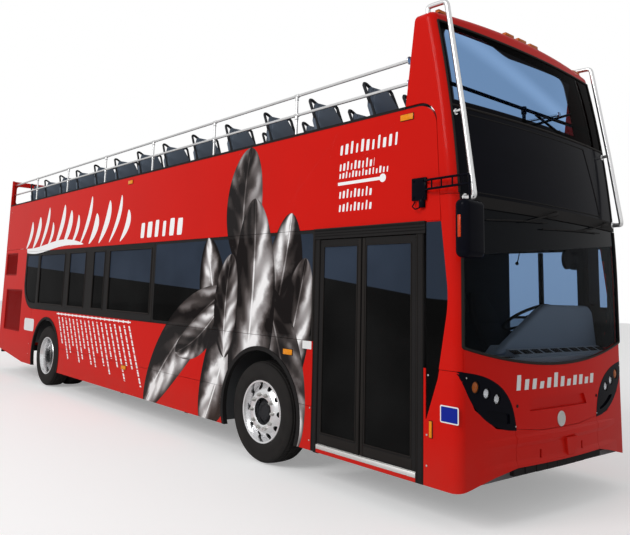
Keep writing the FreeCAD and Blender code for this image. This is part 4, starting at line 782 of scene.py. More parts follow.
@dataclass
class Studio:
    """Camera, soft lights, pale floor and white surroundings."""

    focal_px: float = 668.008
    centre_px: Pair = (264.873, 197.893)
    picture_px: tuple[int, int] = (630, 535)
    azimuth: float = 52.096
    pitch: float = 8.084
    roll: float = 2.001
    eye: Point = (5.363, -5.452, 1.646)
    sensor: float = 36.0

    def camera(self) -> None:
        """Put the camera where the photograph was taken from."""
        width, height = self.picture_px
        data = bpy.data.cameras.new("photo_camera")
        data.sensor_width = self.sensor
        data.lens = self.focal_px * self.sensor / width
        data.shift_x = (width / 2 - self.centre_px[0]) / width
        data.shift_y = (self.centre_px[1] - height / 2) / width
        data.clip_end = 400.0
        turn, tilt, roll = (math.radians(a) for a in (self.azimuth, self.pitch, self.roll))
        ahead = Vector((-math.sin(turn) * math.cos(tilt), math.cos(turn) * math.cos(tilt), math.sin(tilt)))
        level = ahead.cross(Vector((0, 0, 1))).normalized()
        above = level.cross(ahead)
        right = level * math.cos(roll) + above * math.sin(roll)
        up = above * math.cos(roll) - level * math.sin(roll)
        eye = Vector((station(self.eye[0]), self.eye[1], self.eye[2]))
        camera = bpy.data.objects.new("photo_camera", data)
        camera.matrix_world = Matrix((
            (right.x, up.x, -ahead.x, eye.x), (right.y, up.y, -ahead.y, eye.y),
            (right.z, up.z, -ahead.z, eye.z), (0, 0, 0, 1)))
        bpy.context.collection.objects.link(camera)
        bpy.context.scene.camera = camera

    def world(self) -> None:
        """Surround the bus with white for the camera and pale grey for the lighting."""
        world = bpy.data.worlds.new("studio_world")
        world.use_nodes = True
        bpy.context.scene.world = world
        graph = Graph(world.node_tree)
        direct = graph.add("ShaderNodeLightPath", output="Is Camera Ray")
        glossy = graph.add("ShaderNodeLightPath", output="Is Glossy Ray")
        through = graph.add("ShaderNodeLightPath", output="Is Transmission Ray")
        plain = direct + glossy * 0.55 + through * 0.6
        strength = plain * 0.52 + 0.48
        back = graph.add("ShaderNodeBackground", inputs={"Color": (1, 1, 1, 1), "Strength": strength})
        graph.add("ShaderNodeOutputWorld", inputs={"Surface": back})

    def lamp(self, name: str, place: Point, aim: Point, size: float, power: float) -> None:
        """Add one square soft lamp.

        Args:
            name: Its name.
            place: Its place.
            aim: The point that it faces.
            size: Length of its edge.
            power: Its watts.
        """
        data = bpy.data.lights.new(name, "AREA")
        data.size = size
        data.energy = power
        lamp = bpy.data.objects.new(name, data)
        turn = (Vector(aim) - Vector(place)).to_track_quat("-Z", "Y")
        lamp.matrix_world = Matrix.Translation(place) @ turn.to_matrix().to_4x4()
        bpy.context.collection.objects.link(lamp)

    def floor(self) -> None:
        """Lay the pale floor under the wheels."""
        mesh = bpy.data.meshes.new("studio_floor")
        bm = bmesh.new()
        bmesh.ops.create_grid(bm, x_segments=1, y_segments=1, size=60.0)
        bm.to_mesh(mesh)
        bm.free()
        floor = bpy.data.objects.new("studio_floor", mesh)
        bpy.context.collection.objects.link(floor)
        material = bpy.data.materials.new("studio_floor")
        material.use_nodes = True
        graph = Graph(material.node_tree)
        direct = graph.add("ShaderNodeLightPath", output="Is Camera Ray")
        base = graph.add("ShaderNodeBsdfPrincipled",
                         inputs={"Base Color": (0.82, 0.82, 0.82, 1), "Roughness": 0.8})
        glow = graph.add("ShaderNodeEmission", inputs={"Color": (1, 1, 1, 1), "Strength": 0.28})
        lit = graph.add("ShaderNodeAddShader", inputs={0: base, 1: glow})
        both = graph.add("ShaderNodeMixShader", inputs={0: direct, 1: base, 2: lit})
        graph.add("ShaderNodeOutputMaterial", inputs={"Surface": both})
        mesh.materials.append(material)

    def build(self) -> None:
        """Set the whole studio up."""
        bpy.context.scene.view_settings.view_transform = "Standard"
        self.camera()
        self.world()
        self.floor()
        self.lamp("key_lamp", (2.0, -20.0, 13.0), (0.0, 0.0, 2.0), 10.0, 2550.0)
        self.lamp("front_lamp", (18.0, -4.0, 8.0), (4.0, 0.0, 2.0), 7.0, 40.0)


# Meshes


def at(*points: Point) -> list[Point]:
    """Return points of the frame for points given by station."""
    return [(station(x), y, z) for x, y, z in points]


def upright(x0: float, x1: float, y: float, z0: float, z1: float) -> list[Point]:
    """Return the corners of an upright rectangle between two stations."""
    return at((x0, y, z0), (x1, y, z0), (x1, y, z1), (x0, y, z1))


def signed(profile: Outline, sign: int) -> list[Pair]:
    """Return a profile whose first coordinates take a sign."""
    return [(sign * a, r) for a, r in profile]


class Shape:
    """A mesh under construction, shaped by bmesh operators. What adds to it returns the new vertices."""

    def __init__(self, mesh: bpy.types.Mesh | None = None) -> None:
        """Start empty, or take over a mesh.

        Args:
            mesh: The mesh, which is used up.
        """
        self.bm = bmesh.new()
        self.slot_index = 0
        if mesh is not None:
            self.bm.from_mesh(mesh)
            bpy.data.meshes.remove(mesh)

    def _take(self, verts: Iterable[Vert]) -> Verts:
        """Give the faces of new vertices the current material number.

        Args:
            verts: The new vertices.

        Returns:
            The same vertices.
        """
        kept = list(verts)
        for face in {f for v in kept for f in v.link_faces}:
            face.material_index = self.slot_index
        return kept

    def box(self, low: Point, high: Point, bevel: float = 0.0, segments: int = 2) -> Verts:
        """Add a block.

        Args:
            low: Lowest corner.
            high: Highest corner.
            bevel: Width of its edges' rounding.
            segments: Steps of the rounding.

        Returns:
            The new vertices.
        """
        size = [max(b - a, 1e-5) for a, b in zip(low, high)]
        middle = [(a + b) / 2 for a, b in zip(low, high)]
        matrix = Matrix.Translation(middle) @ Matrix.Diagonal((*size, 1.0))
        made = bmesh.ops.create_cube(self.bm, size=1.0, matrix=matrix)["verts"]
        return self.round_edges(made, bevel, segments) if bevel > 0.0 else self._take(made)

    def round_edges(self, verts: Iterable[Vert], width: float, segments: int = 2,
                    sharper_than: float = 25.0) -> Verts:
        """Bevel the edges among some vertices.

        Args:
            verts: The vertices.
            width: Width of the bevel.
            segments: Steps of the bevel.
            sharper_than: Angle in degrees above which an edge is bevelled.

        Returns:
            The vertices of the rounded geometry.
        """
        kept = set(verts)
        edges = [e for e in {e for v in kept for e in v.link_edges}
                 if all(v in kept for v in e.verts) and len(e.link_faces) == 2
                 and e.calc_face_angle(0.0) > math.radians(sharper_than)]
        before = set(self.bm.verts) - kept
        bmesh.ops.bevel(self.bm, geom=edges, offset=width, offset_type="OFFSET", segments=segments,
                        profile=0.5, affect="EDGES", material=-1, clamp_overlap=True)
        return self._take(v for v in self.bm.verts if v not in before)

    def rod(self, start: Point, end: Point, radius: float, end_radius: float | None = None,
            segments: int = 16, bevel: float = 0.0) -> Verts:
        """Add a round bar or a cone.

        Args:
            start: Middle of its first end.
            end: Middle of its other end.
            radius: Radius at the start.
            end_radius: Radius at the end, where it differs.
            segments: Number of sides.
            bevel: Width of the rounding round both ends.

        Returns:
            The new vertices.
        """
        a, b = Vector(start), Vector(end)
        turn = (b - a).to_track_quat("Z", "Y").to_matrix().to_4x4()
        made = bmesh.ops.create_cone(
            self.bm, cap_ends=True, cap_tris=False, segments=segments, radius1=radius,
            radius2=radius if end_radius is None else end_radius, depth=(b - a).length,
            matrix=Matrix.Translation((a + b) / 2) @ turn)["verts"]
        return self.round_edges(made, bevel, 2, 50.0) if bevel > 0.0 else self._take(made)

    def ball(self, centre: Point, radius: float, segments: int = 16) -> Verts:
        """Add a ball.

        Args:
            centre: Its middle.
            radius: Its radius.
            segments: Number of its meridians.

        Returns:
            The new vertices.
        """
        return self._take(bmesh.ops.create_uvsphere(
            self.bm, u_segments=segments, v_segments=segments // 2, radius=radius,
            matrix=Matrix.Translation(centre))["verts"])

    def slab(self, outline: Sequence[Point], push: Point, bevel: float = 0.0, segments: int = 2) -> Verts:
        """Extrude a flat outline.

        Args:
            outline: Its few corners.
            push: The vector of the extrusion.
            bevel: Width of its edges' rounding.
            segments: Steps of the rounding.

        Returns:
            The new vertices.
        """
        corners = [self.bm.verts.new(p) for p in outline]
        face = self.bm.faces.new(corners)
        grown = bmesh.ops.extrude_face_region(self.bm, geom=[face])["geom"]
        top = [g for g in grown if isinstance(g, Vert)]
        bmesh.ops.translate(self.bm, verts=top, vec=Vector(push))
        verts = corners + top
        bmesh.ops.recalc_face_normals(self.bm, faces=list({f for v in verts for f in v.link_faces}))
        return self.round_edges(verts, bevel, segments) if bevel > 0.0 else self._take(verts)

    def lathe(self, profile: Outline, centre: Point, axis: Point = (0.0, 1.0, 0.0), steps: int = 64,
              closed: bool = True) -> Verts:
        """Turn a profile about an axis.

        Args:
            profile: (along the axis, radius) pairs from the centre.
            centre: A point of the axis.
            axis: Direction of the axis.
            steps: Number of steps of a full turn.
            closed: Whether the profile's last point joins its first.

        Returns:
            The new vertices.
        """
        along = Vector(axis).normalized()
        outwards = along.orthogonal().normalized()
        before = set(self.bm.verts)
        ring = [self.bm.verts.new(Vector(centre) + along * a + outwards * r) for a, r in profile]
        pairs = list(zip(ring, ring[1:])) + ([(ring[-1], ring[0])] if closed else [])
        edges = [self.bm.edges.new(pair) for pair in pairs]
        bmesh.ops.spin(self.bm, geom=ring + edges, cent=centre, axis=along, dvec=(0, 0, 0),
                       angle=math.tau, steps=steps, use_merge=True, use_duplicate=False)
        made = [v for v in self.bm.verts if v not in before]
        bmesh.ops.remove_doubles(self.bm, verts=made, dist=1e-5)
        made = [v for v in self.bm.verts if v not in before]
        bmesh.ops.recalc_face_normals(self.bm, faces=list({f for v in made for f in v.link_faces}))
        return self._take(made)

    def bar(self, points: Sequence[Point], radius: float, bend: float = 0.04, sides: int = 4,
            closed: bool = False) -> Verts:
        """Add a round bar along straight runs whose corners are bent.

        Args:
            points: Corners of the run.
            radius: Radius of the bar.
            bend: Length taken by each bend from its runs.
            sides: A quarter of the number of sides, roughly.
            closed: Whether the bar closes on itself.

        Returns:
            The new vertices.
        """
        route: list[Vector] = []
        count = len(points)
        for i, point in enumerate(points):
            here = Vector(point)
            if not closed and i in (0, count - 1):
                route.append(here)
                continue
            for other in (Vector(points[i - 1]), Vector(points[(i + 1) % count])):
                run = other - here
                near = here + run.normalized() * min(bend, run.length * 0.45)
                route.extend([near, here] if other == Vector(points[i - 1]) else [near])
        data = bpy.data.curves.new("bar", "CURVE")
        data.dimensions = "3D"
        data.bevel_depth = radius
        data.bevel_resolution = sides
        data.use_fill_caps = not closed
        data.resolution_u = 5
        return self._curve(data, route, closed)

    def curved_plate(self, outline: Outline, low: float, high: float) -> Verts:
        """Add a plate between two X whose (Y, Z) outline bends smoothly past the given points.

        Args:
            outline: The points.
            low: X of the back.
            high: X of the front.

        Returns:
            The new vertices.
        """
        data = bpy.data.curves.new("plate", "CURVE")
        data.dimensions, data.fill_mode = "2D", "BOTH"
        data.extrude = (high - low) / 2
        data.resolution_u = 8
        made = self._curve(data, [(y, z, 0.0) for y, z in outline], True)
        turn = Matrix(((0, 0, 1, (low + high) / 2), (1, 0, 0, 0), (0, 1, 0, 0), (0, 0, 0, 1)))
        bmesh.ops.transform(self.bm, matrix=turn, verts=made)
        return made

    def _curve(self, data: bpy.types.Curve, route: Sequence[Point], closed: bool) -> Verts:
        """Add the surface of a curve and drop the curve.

        Args:
            data: The curve with its settings and no spline yet.
            route: Its control points.
            closed: Whether it closes on itself.

        Returns:
            The new vertices.
        """
        spline = data.splines.new("NURBS")
        spline.points.add(len(route) - 1)
        for target, place in zip(spline.points, route):
            target.co = (*place, 1.0)
        spline.use_cyclic_u = closed
        spline.order_u = 3
        spline.use_endpoint_u = not closed
        holder = bpy.data.objects.new("curve", data)
        mesh = bpy.data.meshes.new_from_object(holder)
        before = set(self.bm.verts)
        self.bm.from_mesh(mesh)
        bpy.data.objects.remove(holder)
        bpy.data.curves.remove(data)
        bpy.data.meshes.remove(mesh)
        made = [v for v in self.bm.verts if v not in before]
        bmesh.ops.remove_doubles(self.bm, verts=made, dist=1e-6)
        return self._take(v for v in self.bm.verts if v not in before)

    def _copy(self, verts: Iterable[Vert]) -> Verts:
        """Duplicate the geometry of some vertices.

        Args:
            verts: The vertices.

        Returns:
            The copied ones.
        """
        kept = list(verts)
        edges = list({e for v in kept for e in v.link_edges})
        faces = list({f for v in kept for f in v.link_faces})
        geom = bmesh.ops.duplicate(self.bm, geom=kept + edges + faces)["geom"]
        return [g for g in geom if isinstance(g, Vert)]

    def around(self, verts: Verts, centre: Point, count: int, axis: Point = (0.0, 1.0, 0.0)) -> None:
        """Repeat some geometry around an axis, to a full ring of a count.

        Args:
            verts: Its vertices.
            centre: A point of the axis.
            count: Number in the full ring.
            axis: Direction of the axis.
        """
        for k in range(1, count):
            bmesh.ops.rotate(self.bm, verts=self._copy(verts), cent=centre,
                             matrix=Matrix.Rotation(math.tau * k / count, 3, Vector(axis)))

    def shifted(self, verts: Verts, steps: Iterable[Point]) -> None:
        """Repeat some geometry at each of the given shifts."""
        for step in steps:
            bmesh.ops.translate(self.bm, verts=self._copy(verts), vec=Vector(step))

    def both_sides(self) -> None:
        """Add the mirror image across the middle of the bus."""
        verts = self._copy(self.bm.verts)
        bmesh.ops.scale(self.bm, verts=verts, vec=(1.0, -1.0, 1.0))
        bmesh.ops.reverse_faces(self.bm, faces=list({f for v in verts for f in v.link_faces}))

    def to_mesh(self, name: str) -> bpy.types.Mesh:
        """Return the finished mesh and free the working one.

        Args:
            name: Its name.

        Returns:
            The finished mesh.
        """
        mesh = bpy.data.meshes.new(name)
        self.bm.to_mesh(mesh)
        self.bm.free()
        return mesh

    def piece(self, name: str, finishes: Finish | Sequence[Finish], slot: str, replaces: Sequence[str] = (),
              body: str = "root", sharp: float = 38.0) -> None:
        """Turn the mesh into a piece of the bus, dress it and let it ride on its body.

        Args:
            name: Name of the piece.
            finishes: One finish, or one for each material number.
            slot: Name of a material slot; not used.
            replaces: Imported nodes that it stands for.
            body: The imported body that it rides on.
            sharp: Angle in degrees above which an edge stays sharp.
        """
        mesh = self.to_mesh(name)
        mesh.shade_smooth()
        mesh.set_sharp_from_angle(angle=math.radians(sharp))
        for finish in ([finishes] if isinstance(finishes, Finish) else finishes):
            mesh.materials.append(finish.material())
        made = bpy.data.objects.new(name, mesh)
        bpy.context.collection.objects.link(made)
        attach(made, body)
        if replaces:
            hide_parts(*replaces)
        LOG.info("built %s: %d faces", name, len(mesh.polygons))


class Keep(Enum):
    """What combined keeps of its base: the part outside the tool, or the shared part."""

    OUTSIDE = "DIFFERENCE"
    SHARED = "INTERSECT"


def combined(base: Shape, tool: Shape, keep: Keep = Keep.OUTSIDE) -> Shape:
    """Cut one shape with another.

    Args:
        base: The shape that is cut.
        tool: The shape that cuts it.
        keep: Which part of the base is kept.

    Returns:
        The cut shape. Both others are used up.
    """
    solids = [bpy.data.objects.new("solid", shape.to_mesh("solid")) for shape in (base, tool)]
    for item in solids:
        bpy.context.collection.objects.link(item)
    cut = solids[0].modifiers.new("cut", "BOOLEAN")
    cut.operation, cut.object, cut.solver = keep.value, solids[1], "EXACT"
    graph = bpy.context.evaluated_depsgraph_get()
    mesh = bpy.data.meshes.new_from_object(solids[0].evaluated_get(graph))
    for item in solids:
        data = item.data
        bpy.data.objects.remove(item)
        bpy.data.meshes.remove(data)
    return Shape(mesh)


# Wheels


@dataclass
class Tyre:
    """Road tyre with block tread, from its section."""

    radius: float = 0.486
    block_height: float = 0.007
    block_gap: float = 0.0022
    steps: int = 72
    ribs: tuple[float, ...] = (-0.101, -0.064, -0.060, -0.022, -0.018, 0.018, 0.022, 0.060, 0.064, 0.101)
    grooves: Outline = ((0.064, 0.060), (0.022, 0.018), (-0.018, -0.022), (-0.060, -0.064))
    groove_depth: float = 0.010
    crown_drop: float = 0.006
    wall: Outline = (
        (0.100, 0.287), (0.117, 0.291), (0.128, 0.306), (0.1355, 0.330), (0.1375, 0.334), (0.1395, 0.352),
        (0.140, 0.385), (0.138, 0.392), (0.137, 0.425), (0.131, 0.452), (0.120, 0.468))

    def section(self) -> list[Pair]:
        """Return the closed (across, radius) profile, tread grooves cut to their floor.

        Returns:
            The pairs, from one bead over the tread to the other.
        """
        crown = self.radius - self.block_height
        tread = [(y, crown - self.crown_drop * (y / self.ribs[-1]) ** 2) for y in reversed(self.ribs)]
        for a, b in self.grooves:
            place = tread.index(next(p for p in tread if p[0] == b))
            floor = crown - self.groove_depth
            tread[place:place] = [(a - 0.0005, floor), (b + 0.0005, floor)]
        return list(self.wall) + tread + [(-y, r) for y, r in reversed(self.wall)]

    def add(self, shape: Shape, x: float, y: float) -> None:
        """Add one tyre to a shape.

        Args:
            shape: The shape that takes it.
            x: The axle's place.
            y: The tyre's middle plane.
        """
        centre = Vector((x, y, AXLE_HEIGHT))
        verts = shape.lathe(self.section(), centre, steps=self.steps)
        blocks = []
        for face in {f for v in verts for f in v.link_faces}:
            middle = face.calc_center_median() - centre
            outwards = Vector((middle.x, 0.0, middle.z)).normalized()
            if face.normal.dot(outwards) > 0.9 and math.hypot(middle.x, middle.z) > self.radius - 0.016:
                if max(abs(v.co.y - face.verts[0].co.y) for v in face.verts) > 0.02:
                    blocks.append(face)
        bmesh.ops.inset_individual(shape.bm, faces=blocks, thickness=self.block_gap, depth=self.block_height,
                                   use_even_offset=True)


@dataclass(frozen=True)
class WheelKind:
    """Profiles of a wheel as (outwards, radius) from its middle plane.

    drilled, face and baffle say how far out the hand holes, the nuts' seat and the dark ring lie.
    """

    disc: Outline
    hub: Outline
    drilled: float
    face: float
    baffle: float


class Side(Enum):
    """Left or right of the bus: the sign of Y."""

    LEFT = 1
    RIGHT = -1


class End(Enum):
    """Front or rear wheels: the axle's X, the ending of names for twins, and the kind of wheel."""

    FRONT = (FRONT_AXLE, "", WheelKind(
        ((0.040, 0.272), (0.064, 0.262), (0.092, 0.218), (0.106, 0.200), (0.110, 0.192), (0.110, 0.136),
         (0.106, 0.129), (0.066, 0.126), (0.056, 0.128), (0.092, 0.142), (0.094, 0.186), (0.078, 0.208),
         (0.050, 0.252), (0.026, 0.272)),
        ((0.030, 0.124), (0.052, 0.122), (0.060, 0.104), (0.060, 0.094), (0.084, 0.090), (0.092, 0.084),
         (0.092, 0.056), (0.086, 0.050), (0.086, 0.0)), 0.08, 0.110, 0.016))
    REAR = (REAR_AXLE, "s", WheelKind(
        ((-0.086, 0.272), (-0.072, 0.262), (-0.128, 0.205), (-0.134, 0.196), (-0.134, 0.134), (-0.152, 0.134),
         (-0.152, 0.198), (-0.146, 0.212), (-0.100, 0.266)),
        ((-0.150, 0.132), (-0.110, 0.130), (-0.050, 0.112), (-0.004, 0.108), (0.004, 0.100), (0.004, 0.052),
         (0.012, 0.048), (0.012, 0.0)), -0.11, -0.134, -0.168))


@dataclass
class Wheels:
    """All six tyres, the polished rims, the hubs and their nuts."""

    middle_y: float = 1.105
    twin_pitch: float = 0.325
    nut_circle: float = 0.163
    nut_count: int = 10
    bolt_circle: float = 0.070
    bolt_count: int = 8
    hole_circle: float = 0.236
    hole_count: int = 10
    hole_radius: float = 0.0280
    tyre: Tyre = field(default_factory=Tyre)
    barrel: Outline = (
        (-0.122, 0.302), (-0.128, 0.299), (-0.127, 0.284), (-0.098, 0.276), (-0.070, 0.262),
        (0.070, 0.262), (0.098, 0.274), (0.127, 0.283), (0.130, 0.299), (0.124, 0.304), (0.117, 0.288),
        (0.095, 0.2855), (-0.095, 0.2855), (-0.117, 0.288))
    inner_disc: Outline = (
        (0.108, 0.272), (0.122, 0.262), (0.158, 0.196), (0.172, 0.196), (0.172, 0.134), (0.152, 0.134),
        (0.148, 0.196), (0.098, 0.262))
    baffle: Outline = ((0.0, 0.150), (0.004, 0.150), (0.004, 0.260), (0.0, 0.260))

    def _finish(self, shape: Shape, end: End, side: Side, part: str, finish: Finish,
                sharp: float = 38.0) -> None:
        """Make a piece that stands for the wheel's node of the same part.

        Args:
            shape: Its mesh.
            end: Front or rear.
            side: Left or right.
            part: tyre or rim.
            finish: Its finish.
            sharp: Angle in degrees above which an edge stays sharp.
        """
        _, plural, _ = end.value
        word, hand = end.name.lower(), side.name.lower()
        slot = "tyre" if part == "tyre" else "alloy"
        shape.piece(f"{part}{plural}_{word}_{hand}", finish, slot, [f"{word}_{part}{plural}_{hand}"],
                    f"{word}_wheel{plural}_{hand}", sharp)

    def _tyres(self, end: End, side: Side) -> None:
        """Build one tyre, or the rear's two.

        Args:
            end: Front or rear.
            side: Left or right.
        """
        shape = Shape()
        self.tyre.add(shape, end.value[0], side.value * self.middle_y)
        if end is End.REAR:
            self.tyre.add(shape, end.value[0], side.value * (self.middle_y - self.twin_pitch))
        self._finish(shape, end, side, "tyre", TYRE, 30.0)

    def _rim(self, end: End, side: Side) -> None:
        """Build one rim, or the rear's two: drilled disc and barrels.

        Args:
            end: Front or rear.
            side: Left or right.
        """
        x, _, kind = end.value
        sign = side.value
        centre = (x, sign * self.middle_y, AXLE_HEIGHT)
        disc, holes = Shape(), Shape()
        disc.lathe(signed(kind.disc, sign), centre, steps=80)
        depth, half = sign * (self.middle_y + kind.drilled), 0.09
        hole = holes.rod((x + self.hole_circle, depth - half, AXLE_HEIGHT),
                         (x + self.hole_circle, depth + half, AXLE_HEIGHT), self.hole_radius, segments=20)
        holes.around(hole, centre, self.hole_count)
        whole = combined(disc, holes)
        whole.lathe(signed(self.barrel, sign), centre, steps=80)
        if end is End.REAR:
            inner = (x, sign * (self.middle_y - self.twin_pitch), AXLE_HEIGHT)
            whole.lathe(signed(self.barrel, sign), inner, steps=64)
            whole.lathe(signed(self.inner_disc, sign), inner, steps=64)
        self._finish(whole, end, side, "rim", ALLOY)

    def _hub(self, end: End, side: Side) -> None:
        """Build the dark hub, its small bolts, the wheel nuts on their washers and the dark ring.

        Args:
            end: Front or rear.
            side: Left or right.
        """
        x, plural, kind = end.value
        sign = side.value
        centre = (x, sign * self.middle_y, AXLE_HEIGHT)
        shape = Shape()

        def ring(circle: float, low: float, high: float, radius: float, sides: int, bevel: float,
                 count: int) -> None:
            """Add a ring of bolts between two distances out of the middle plane."""
            ends = [(x + circle, sign * (self.middle_y + out), AXLE_HEIGHT) for out in (low, high)]
            shape.around(shape.rod(*ends, radius, segments=sides, bevel=bevel), centre, count)

        shape.lathe(signed(kind.hub, sign), centre, steps=48, closed=False)
        top = max(a for a, _ in kind.hub)
        ring(self.bolt_circle, top - 0.012, top + 0.006, 0.0085, 6, 0.001, self.bolt_count)
        shape.slot_index = 1
        for low, high, radius, sides, bevel in (
                (-0.001, 0.005, 0.0205, 16, 0.0), (0.005, 0.026, 0.0170, 6, 0.0015),
                (0.020, 0.034, 0.0095, 12, 0.0015)):
            ring(self.nut_circle, kind.face + low, kind.face + high, radius, sides, bevel, self.nut_count)
        shape.slot_index = 2
        shape.lathe([(sign * (kind.baffle + a), r) for a, r in self.baffle], centre, steps=48)
        word, hand = end.name.lower(), side.name.lower()
        shape.piece(f"hub_{word}_{hand}", (FRAME_STEEL, NUT_STEEL, CAB_LINING), "frame_steel", (),
                    f"{word}_wheel{plural}_{hand}")

    def build(self) -> None:
        """Build every wheel."""
        for side in Side:
            for make in (self._tyres, self._rim, self._hub):
                for end in End:
                    make(end, side)


# Upper deck


@dataclass(frozen=True)
class Seat:
    """One kind of moulded seat, drawn on the foot of its leaning back at the origin."""

    height: float = 1.150
    foot: float = SEAT_FOOT
    width: float = 0.420
    top_half: float = 0.125
    shoulder: float = 0.215
    thick: float = 0.040
    lean: float = math.atan2(0.255, 0.670)
    welt: float = 0.040
    seam: float = 0.47

    @property
    def high(self) -> float:
        """Return the length of the back above its foot, along its slope."""
        return (self.height - self.foot) / math.cos(self.lean)

    def on_back(self, side: float, up: float, out: float = 0.0) -> Point:
        """Return the point at a place across, up and out of the back's middle plane."""
        return (out * math.cos(self.lean) - up * math.sin(self.lean), side,
                out * math.sin(self.lean) + up * math.cos(self.lean))

    def _panel(self, shape: Shape, outline: Outline, low: float, high: float, bevel: float) -> Verts:
        """Add a plate in the back's plane.

        Args:
            shape: The shape that takes it.
            outline: (side, up) points of its left half.
            low: How far out of the plane it begins.
            high: How far out of the plane it ends.
            bevel: Width of its edges' rounding.

        Returns:
            The new vertices.
        """
        points = list(outline) + [(-s, v) for s, v in reversed(outline)]
        push = self.on_back(0.0, 0.0, high - low)
        return shape.slab([self.on_back(s, v, low) for s, v in points], push, bevel)

    def shell(self, shape: Shape) -> Verts:
        """Add the back with its two pads, and the cushion with its own.

        Args:
            shape: The shape that takes them.

        Returns:
            The new vertices.
        """
        half, rise = self.width / 2, self.thick / 2
        back = [(half, -0.088), (half, self.high - self.shoulder), (self.top_half, self.high)]
        made = self._panel(shape, back, -rise, rise, 0.011)
        seam, edge = self.high * self.seam, half - self.welt
        made += self._panel(shape, [(edge, 0.045), (edge, seam)], rise - 0.006, rise + 0.014, 0.008)
        upper = [(edge, seam + 0.018), (edge, self.high - self.shoulder - 0.010),
                 (self.top_half - 0.028, self.high - 0.030)]
        made += self._panel(shape, upper, rise - 0.006, rise + 0.012, 0.008)
        slope = math.tan(self.lean)
        rear = (rise + 0.0003) / math.cos(self.lean) - 0.005 * slope
        under = rear + 0.090 * slope
        outline = [(rear, 0.004), (rear + 0.430, 0.018), (rear + 0.466, -0.030), (rear + 0.430, -0.085),
                   (under, -0.085)]
        made += shape.slab([(x, -half, z) for x, z in outline], (0, self.width, 0), 0.014, 3)
        pad = [(rear + 0.050, 0.000), (rear + 0.395, 0.010), (rear + 0.395, 0.024), (rear + 0.060, 0.015)]
        made += shape.slab([(x, -edge, z) for x, z in pad], (0, self.width - 2 * self.welt, 0), 0.006)
        return made

    def loops(self, shape: Shape) -> Verts:
        """Add a bent handle on each shoulder, down the back's edge.

        Args:
            shape: The shape that takes them.

        Returns:
            The new vertices.
        """
        made: Verts = []
        top = self.high
        path = [(0.196, top * 0.30, 0.026), (0.190, top - 0.235, 0.012), (0.190, top + 0.012, 0.0),
                (0.176, top + 0.031, 0.0), (0.150, top + 0.027, 0.0), (0.092, top - 0.012, 0.0),
                (0.090, top - 0.055, 0.020)]
        for side in (-1, 1):
            made += shape.bar([self.on_back(side * s, v, w) for s, v, w in path], 0.0155, 0.020, 1)
        return made

    def leg(self, shape: Shape) -> Verts:
        """Add the pedestal with its floor plate and bracket.

        Args:
            shape: The shape that takes it.

        Returns:
            The new vertices.
        """
        low = -self.foot
        made = shape.box((0.125, -0.024, low + 0.004), (0.235, 0.024, -0.086), 0.008)
        made += shape.box((0.100, -0.070, low + 0.0005), (0.260, 0.070, low + 0.008), 0.003, 1)
        made += shape.box((0.090, -0.160, -0.104), (0.400, 0.160, -0.0845), 0.004, 1)
        return made


@dataclass(frozen=True)
class SeatPlan:
    """Where the seats stand: deck heights, stations of the rows and lateral places."""

    upper_deck: float = 2.400
    upper_first: float = 1.245
    upper_pitch: float = 0.735
    upper_rows: int = 13
    upper_y: Pair = (0.400, 0.953)
    well_end: float = -1.050
    lower_deck: float = 0.345
    lower_first: float = -1.650
    lower_pitch: float = 0.760
    lower_rows: int = 5
    lower_y: Pair = (0.521, 0.965)
    driver: tuple[float, float, float] = (1.470, 0.560, 0.640)
    lean_run: float = 0.255

    def upper(self) -> list[Point]:
        """Return the back's foot of each upper seat, none beside the stairwell.

        Returns:
            The places, in the frame.
        """
        places: list[Point] = []
        for k in range(self.upper_rows):
            x = self.upper_first - k * self.upper_pitch
            for y in self.upper_y:
                sides = (-y, y) if x <= self.well_end else (-y,)
                places += at(*((x + self.lean_run, side, self.upper_deck + SEAT_FOOT) for side in sides))
        return places

    def lower(self) -> list[Point]:
        """Return the back's foot of each seat in the lower saloon.

        Returns:
            The places, in the frame.
        """
        foot = self.lower_deck + SEAT_FOOT
        return at(*((self.lower_first - k * self.lower_pitch + self.lean_run, side * y, foot)
                    for k in range(self.lower_rows) for side in (-1, 1) for y in self.lower_y))

    def cab(self) -> list[Point]:
        """Return the back's foot of the driver's seat."""
        x, y, z = self.driver
        return at((x, y, z + SEAT_FOOT))

    def build(self) -> None:
        """Build all shells, handles and legs."""
        kinds = ((Seat(), self.upper()), (Seat(height=1.000), self.lower()), (Seat(height=1.080), self.cab()))
        for name, make, finishes, slot, nodes in (
                ("seat_shells", Seat.shell, (SEAT_SHELL, CAB_LINING), "seat_blue",
                 ["seat_backs", "seat_cushions"]),
                ("seat_loops", Seat.loops, LOOP_BLACK, "dark_trim", ["seat_handles"]),
                ("seat_pedestals", Seat.leg, FRAME_STEEL, "frame_steel", ["seat_legs"])):
            shape = Shape()
            for kind, places in kinds[:1] if make is Seat.loops else kinds:
                shape.slot_index = int(make is Seat.shell and kind is kinds[2][0])
                verts = make(kind, shape)
                bmesh.ops.translate(shape.bm, verts=verts, vec=places[0])
                shape.shifted(verts, [Vector(p) - Vector(places[0]) for p in places[1:]])
            shape.piece(name, finishes, slot, nodes)


